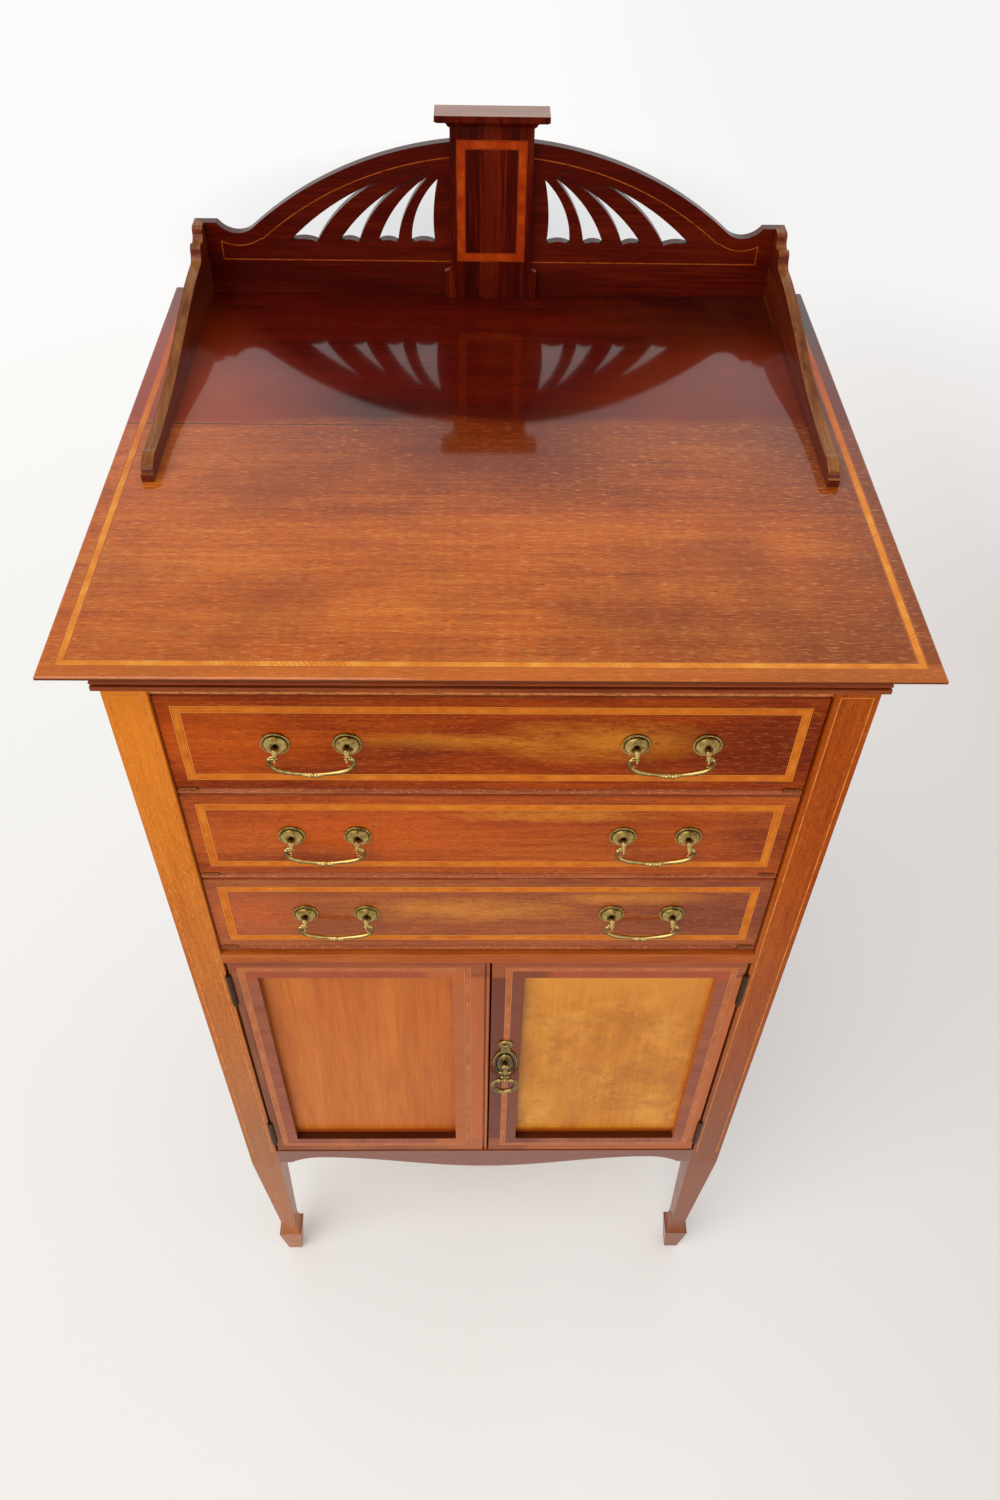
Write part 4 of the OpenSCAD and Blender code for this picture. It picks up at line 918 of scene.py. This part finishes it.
# Door handle
def add_ring_plate(metal):
    """An oval rimmed plate with a pierced lobe, a swept dome, a knob and the stem that carries the ring."""
    bm = bmesh.new()
    wide, tall, flat, rim, rim_w = 12 * MM, 24.5 * MM, 1.6 * MM, 2.4 * MM, 1.6 * MM
    dome_wide, dome_tall, dome_out = 8.4 * MM, 17.5 * MM, 5 * MM
    levels = [(0, 0, 0), (wide, tall, 0)]
    for inset, h in ((0, rim - 0.5 * MM), (0.5 * MM, rim), (rim_w - 0.3 * MM, rim), (rim_w, flat)):
        levels.append((wide - inset, tall - inset, h))
    for i in range(10):
        a = i / 10 * pi / 2
        levels.append((dome_wide * cos(a), dome_tall * cos(a), flat + dome_out * sin(a)))
    oval_form(bm, PLATE, levels + [(0, 0, flat + dome_out)], 64)
    beads, bead_in, bead_r = 44, 2.6 * MM, 0.7 * MM
    for i in range(beads):
        a = 2 * pi * i / beads
        ball(bm, PLATE + Vector(((wide - bead_in) * cos(a), -flat, (tall - bead_in) * sin(a))), bead_r, 6)
    lobe = PLATE + Vector((0, -1.3 * MM, LOBE_RISE))
    wire_ring(bm, lobe, 4.6 * MM, 2.4 * MM, Vector((0, 1, 0)), 1.3 * MM, 36, 12)
    tube(bm, [PLATE + Vector((0, -1.2 * MM, z * MM)) for z in (21, 24, 27, 30)],
         [r * MM for r in (5.4, 4.6, 4.1, 4.4)], 16, [1.2 * MM] * 4)
    knob = [(0, 4), (3.4, 4.4), (2.6, 5.6), (2.2, 6.6), (3.0, 7.3), (3.9, 8.4), (4.0, 9.6), (3.2, 10.9),
            (1.6, 11.7), (0, 11.9)]
    turned(bm, PLATE + Vector((0, 0, KNOB_RISE)), [(r * MM, h * MM) for r, h in knob], 32)
    pivot = PLATE + Vector((0, -RING_OUT, -RING_DROP))
    stem = [(4, 2.0), (0, 1.7), (-2.4, 2.6), (-5.4, 2.7), (-7.4, 1.6), (-12, 1.5), (-16, 2.1), (-18, 1.8)]
    tube(bm, [PLATE + Vector((0, -RING_OUT, z * MM)) for z, r in stem], [r * MM for z, r in stem], 16)
    wire_ring(bm, pivot, 2.4 * MM, 0.9 * MM, Vector((1, 0, 0)), 1.4 * MM)
    bar_z = -4.8 * MM
    tube(bm, [PLATE + Vector((x * MM, -RING_OUT, bar_z)) for x in (-4.2, 4.2)], [1.3 * MM] * 2, 12)
    for end in (-1, 1):
        ball(bm, PLATE + Vector((end * 4.4 * MM, -RING_OUT, bar_z)), 1.75 * MM, 12)
        ball(bm, PLATE + Vector((end * 2.6 * MM, -RING_OUT + 0.4 * MM, -15.5 * MM)), 1.7 * MM, 12)
    finish_mesh("door_handle_plate", bm, metal, "door_right", ["ring_plate"])


def add_ring(metal):
    """A thick drop ring with two leaves and a bead at its foot."""
    bm = bmesh.new()
    pivot = PLATE + Vector((0, -RING_OUT, -RING_DROP))
    middle = pivot + Vector((0, 0, -RING_BEND * cos(RING_GAP)))
    count = 60
    path, radii, deep = [], [], []
    for i in range(count + 1):
        a = pi / 2 - RING_GAP - (2 * pi - 2 * RING_GAP) * i / count
        low = (1 - sin(a)) / 2
        path.append(middle + Vector((RING_BEND * cos(a), 0, RING_BEND * sin(a))))
        radii.append((1.8 + 0.8 * min(1, low * 2)) * MM)
        deep.append((1.7 + 0.5 * min(1, low * 2)) * MM)
    tube(bm, path, radii, 18, deep)
    end_x = RING_BEND * sin(RING_GAP)
    tube(bm, [pivot + Vector((x, 0, 0)) for x in (-end_x, end_x)], [1.5 * MM] * 2, 14)
    foot = middle + Vector((0, 0, -RING_BEND))
    for end in (-1, 1):
        ball(bm, pivot + Vector((end * end_x, 0, 0)), 2.5 * MM, 14, (0.9, 1, 1))
        for i in range(3):
            spot = foot + Vector((end * (2.1 + 2.3 * i) * MM, -1.2 * MM, (0.2 + 0.45 * i * i) * MM))
            ball(bm, spot, (2.4 - 0.4 * i) * MM, 12, (1.0, 0.8, 0.9))
    ball(bm, foot + Vector((0, -0.9 * MM, -0.4 * MM)), 2.1 * MM, 12, (0.8, 1, 1.1))
    finish_mesh("door_ring", bm, metal, "ring", ["ring_pull"])


# The CAD parts' finishes
def finish_parts():
    """Gives each CAD part its material; plain timber is left for what nothing is chosen for."""
    timber = plain_timber("y")
    side, strip = side_wood(), strip_wood()
    leg, rail = leg_wood(), rail_wood()
    gallery, wing, tablet = gallery_wood(), wing_wood(), tablet_wood()
    door = door_wood()
    dull = brass("hinge_brass", (26, 16, 8), (54, 34, 18), (92, 62, 32), 0.45, 0.15)
    brown = brass("fall_hinge_brass", (70, 34, 16), (106, 58, 30), (140, 82, 46), 0.5)
    chosen = {
        "top_board": top_wood(), "bed_mould": mould_wood(), "top_rail": top_rail_wood(),
        "apron": rail, "waist_rail": rail, "back_panel": plain_timber("z"), "door_bead": door,
        "tablet": tablet, "tablet_cap": tablet,
    }
    for name in SIDES:
        chosen["leg_front_" + name] = leg
        chosen["leg_back_" + name] = leg
        chosen["side_panel_" + name] = side
        chosen["gallery_" + name] = gallery
        chosen["gallery_wing_" + name] = wing
        chosen["door_frame_" + name] = door
        chosen["door_panel_" + name] = panel_wood(name)
        chosen["door_hinge_leaf_" + name] = dull
        chosen["door_hinge_flap_" + name] = dull
    for k in DRAWERS:
        chosen["fall_front_%d" % k] = fall_wood(k)
        chosen["drawer_bottom_%d" % k] = strip
        chosen["fall_hinge_leaf_%d" % k] = brown
        chosen["fall_hinge_flap_%d" % k] = brown
    for name, part in nodes.items():
        part.data.materials.clear()
        part.data.materials.append(chosen.get(name, timber))


# Floor, light and background
def seen_rays(tree):
    """1 for rays from the camera, off gloss or through glass, which see the background, and 0 for light."""
    path = tree.nodes.new("ShaderNodeLightPath").outputs
    seen = path["Is Camera Ray"]
    for kind in ("Is Glossy Ray", "Is Transmission Ray"):
        seen = add_node(tree, "ShaderNodeMath", {0: seen, 1: path[kind]}, operation="MAXIMUM").outputs[0]
    return seen


def floor_paper():
    """Pale paper: soft shadow near the cabinet, then white; painted shade greys it on the right and nearer
    the cabinet, and a faint painted shadow of a backdrop lies far behind.
    """
    s = Surface("floor_paper")
    across = s.split(s.place)[0]
    # Painted shade: the paper is greyer to the right, as if the light fell off, and greyer near the cabinet.
    greyer = s.window(across, 0.1, 1.1)
    s.set(Base_Color=s.mix(greyer, (253, 252, 251), (228, 222, 220)), Roughness=0.8, Specular_IOR_Level=0.0)
    away = s.vector("LENGTH", s.place)["Value"]
    far = s.window(away, 1.4, 2.8)
    left = s.mix(far, (247, 246, 242), (253, 252, 251))
    right = s.mix(far, (220, 214, 211), (245, 244, 243))
    # Painted shadow of a backdrop, far behind the cabinet.
    behind = s.window(s.spot((0.0, 2.85, 0.0), (1.0, 0.75, 1.0)), 0.0, 1.0)
    paper = s.lay(s.mix(greyer, left, right), (172, 173, 180), behind, 0.55)
    lit = s.add("ShaderNodeEmission", {"Color": paper, "Strength": 1.0})
    share = s.times(s.window(away, 0.05, 1.8), seen_rays(s.tree))
    both = s.add("ShaderNodeMixShader", {0: share, 1: s.shader.outputs[0], 2: lit.outputs[0]})
    plug(s.tree, s.tree.nodes["Material Output"], "Surface", both.outputs[0])
    return s.material


def add_floor():
    half_size = 30
    bm = bmesh.new()
    bmesh.ops.create_grid(bm, x_segments=2, y_segments=2, size=half_size)
    mesh = bpy.data.meshes.new("floor")
    bm.to_mesh(mesh)
    bm.free()
    floor = bpy.data.objects.new("floor", mesh)
    mesh.materials.append(floor_paper())
    bpy.context.scene.collection.objects.link(floor)


def add_world():
    """Soft light from all round; the camera and the polish see it brighter, and dimmer overhead."""
    world = bpy.data.worlds.new("world")
    world.use_nodes = True
    tree = world.node_tree
    way = tree.nodes.new("ShaderNodeTexCoord").outputs["Generated"]
    up = add_node(tree, "ShaderNodeSeparateXYZ", {0: way}).outputs[2]
    by_height = {"Value": up, "From Min": 0.44, "From Max": 0.66, "To Min": 1.0, "To Max": 0.4}
    seen_level = add_node(tree, "ShaderNodeMapRange", by_height).outputs[0]
    by_ray = {"Value": seen_rays(tree), "To Min": 0.62, "To Max": seen_level}
    level = add_node(tree, "ShaderNodeMapRange", by_ray).outputs[0]
    plug(tree, tree.nodes["Background"], "Color", (1.0, 0.994, 0.985, 1))
    plug(tree, tree.nodes["Background"], "Strength", level)
    bpy.context.scene.world = world


def add_window():
    """A wide, soft lamp in front on the left and above."""
    lamp = bpy.data.lights.new("window", "SUN")
    lamp.energy = 1.35
    lamp.angle = radians(50)
    lamp.color = (1.0, 0.985, 0.96)
    window = bpy.data.objects.new("window", lamp)
    window.rotation_euler = Vector((0.55, 0.62, -0.9)).to_track_quat("-Z", "Y").to_euler()
    bpy.context.scene.collection.objects.link(window)


add_camera()
add_floor()
add_world()
add_window()
finish_parts()

# The last number of each brass paints highlights on upward faces; the roses' is below 0, so their domes are
# painted darker on top.
old_brass = brass("old_brass", (34, 24, 10), (118, 92, 40), (240, 214, 134), 0.24, 0.08, -0.2)
bail_brass = brass("bail_brass", (30, 20, 8), (96, 72, 34), (222, 192, 116), 0.26, 0.26, 0.38)
dark_brass = brass("dark_brass", (28, 19, 10), (92, 72, 38), (226, 196, 120), 0.24, 0.2, 0.1)
top_band = banding(
    "top_satinwood", ((222, 120, 32), (238, 142, 44), (248, 168, 66)), edge_tone=(206, 124, 58),
    line_tone=(124, 56, 18), core=0.36, marks=0.14, coat=0.6, rear_tone=(196, 74, 20),
)
fall_band = banding(
    "fall_satinwood", ((194, 92, 14), (214, 112, 18), (226, 132, 30)), edge_tone=(234, 150, 50),
    line_tone=(150, 66, 16), core=0.34, marks=0.03, coat=0.08,
)
door_band = banding(
    "door_satinwood", ((168, 84, 34), (186, 98, 40), (202, 116, 54)), edge_tone=(200, 120, 66),
    line_tone=(138, 70, 38), core=0.3, marks=0.03,
)
red_band = banding(
    "tablet_satinwood", ((156, 44, 4), (182, 60, 8), (204, 84, 16)), edge_tone=(208, 92, 24),
    line_tone=(104, 22, 4), core=0.4, marks=0.04, coat=0.15,
)
add_top_banding(top_band)
add_fall_banding(fall_band)
add_door_inlays(door_band, crossband())
add_leg_stringing(stringing("pale_stringing", (218, 130, 46)))
add_gallery_stringing(stringing("gallery_line", (176, 84, 24)))
add_tablet_banding(red_band)
for k in DRAWERS:
    add_roses(k, old_brass)
    for side in SIDES:
        add_bail(k, side, bail_brass)
add_ring_plate(dark_brass)
add_ring(dark_brass)

bpy.context.scene.view_settings.view_transform = "Standard"
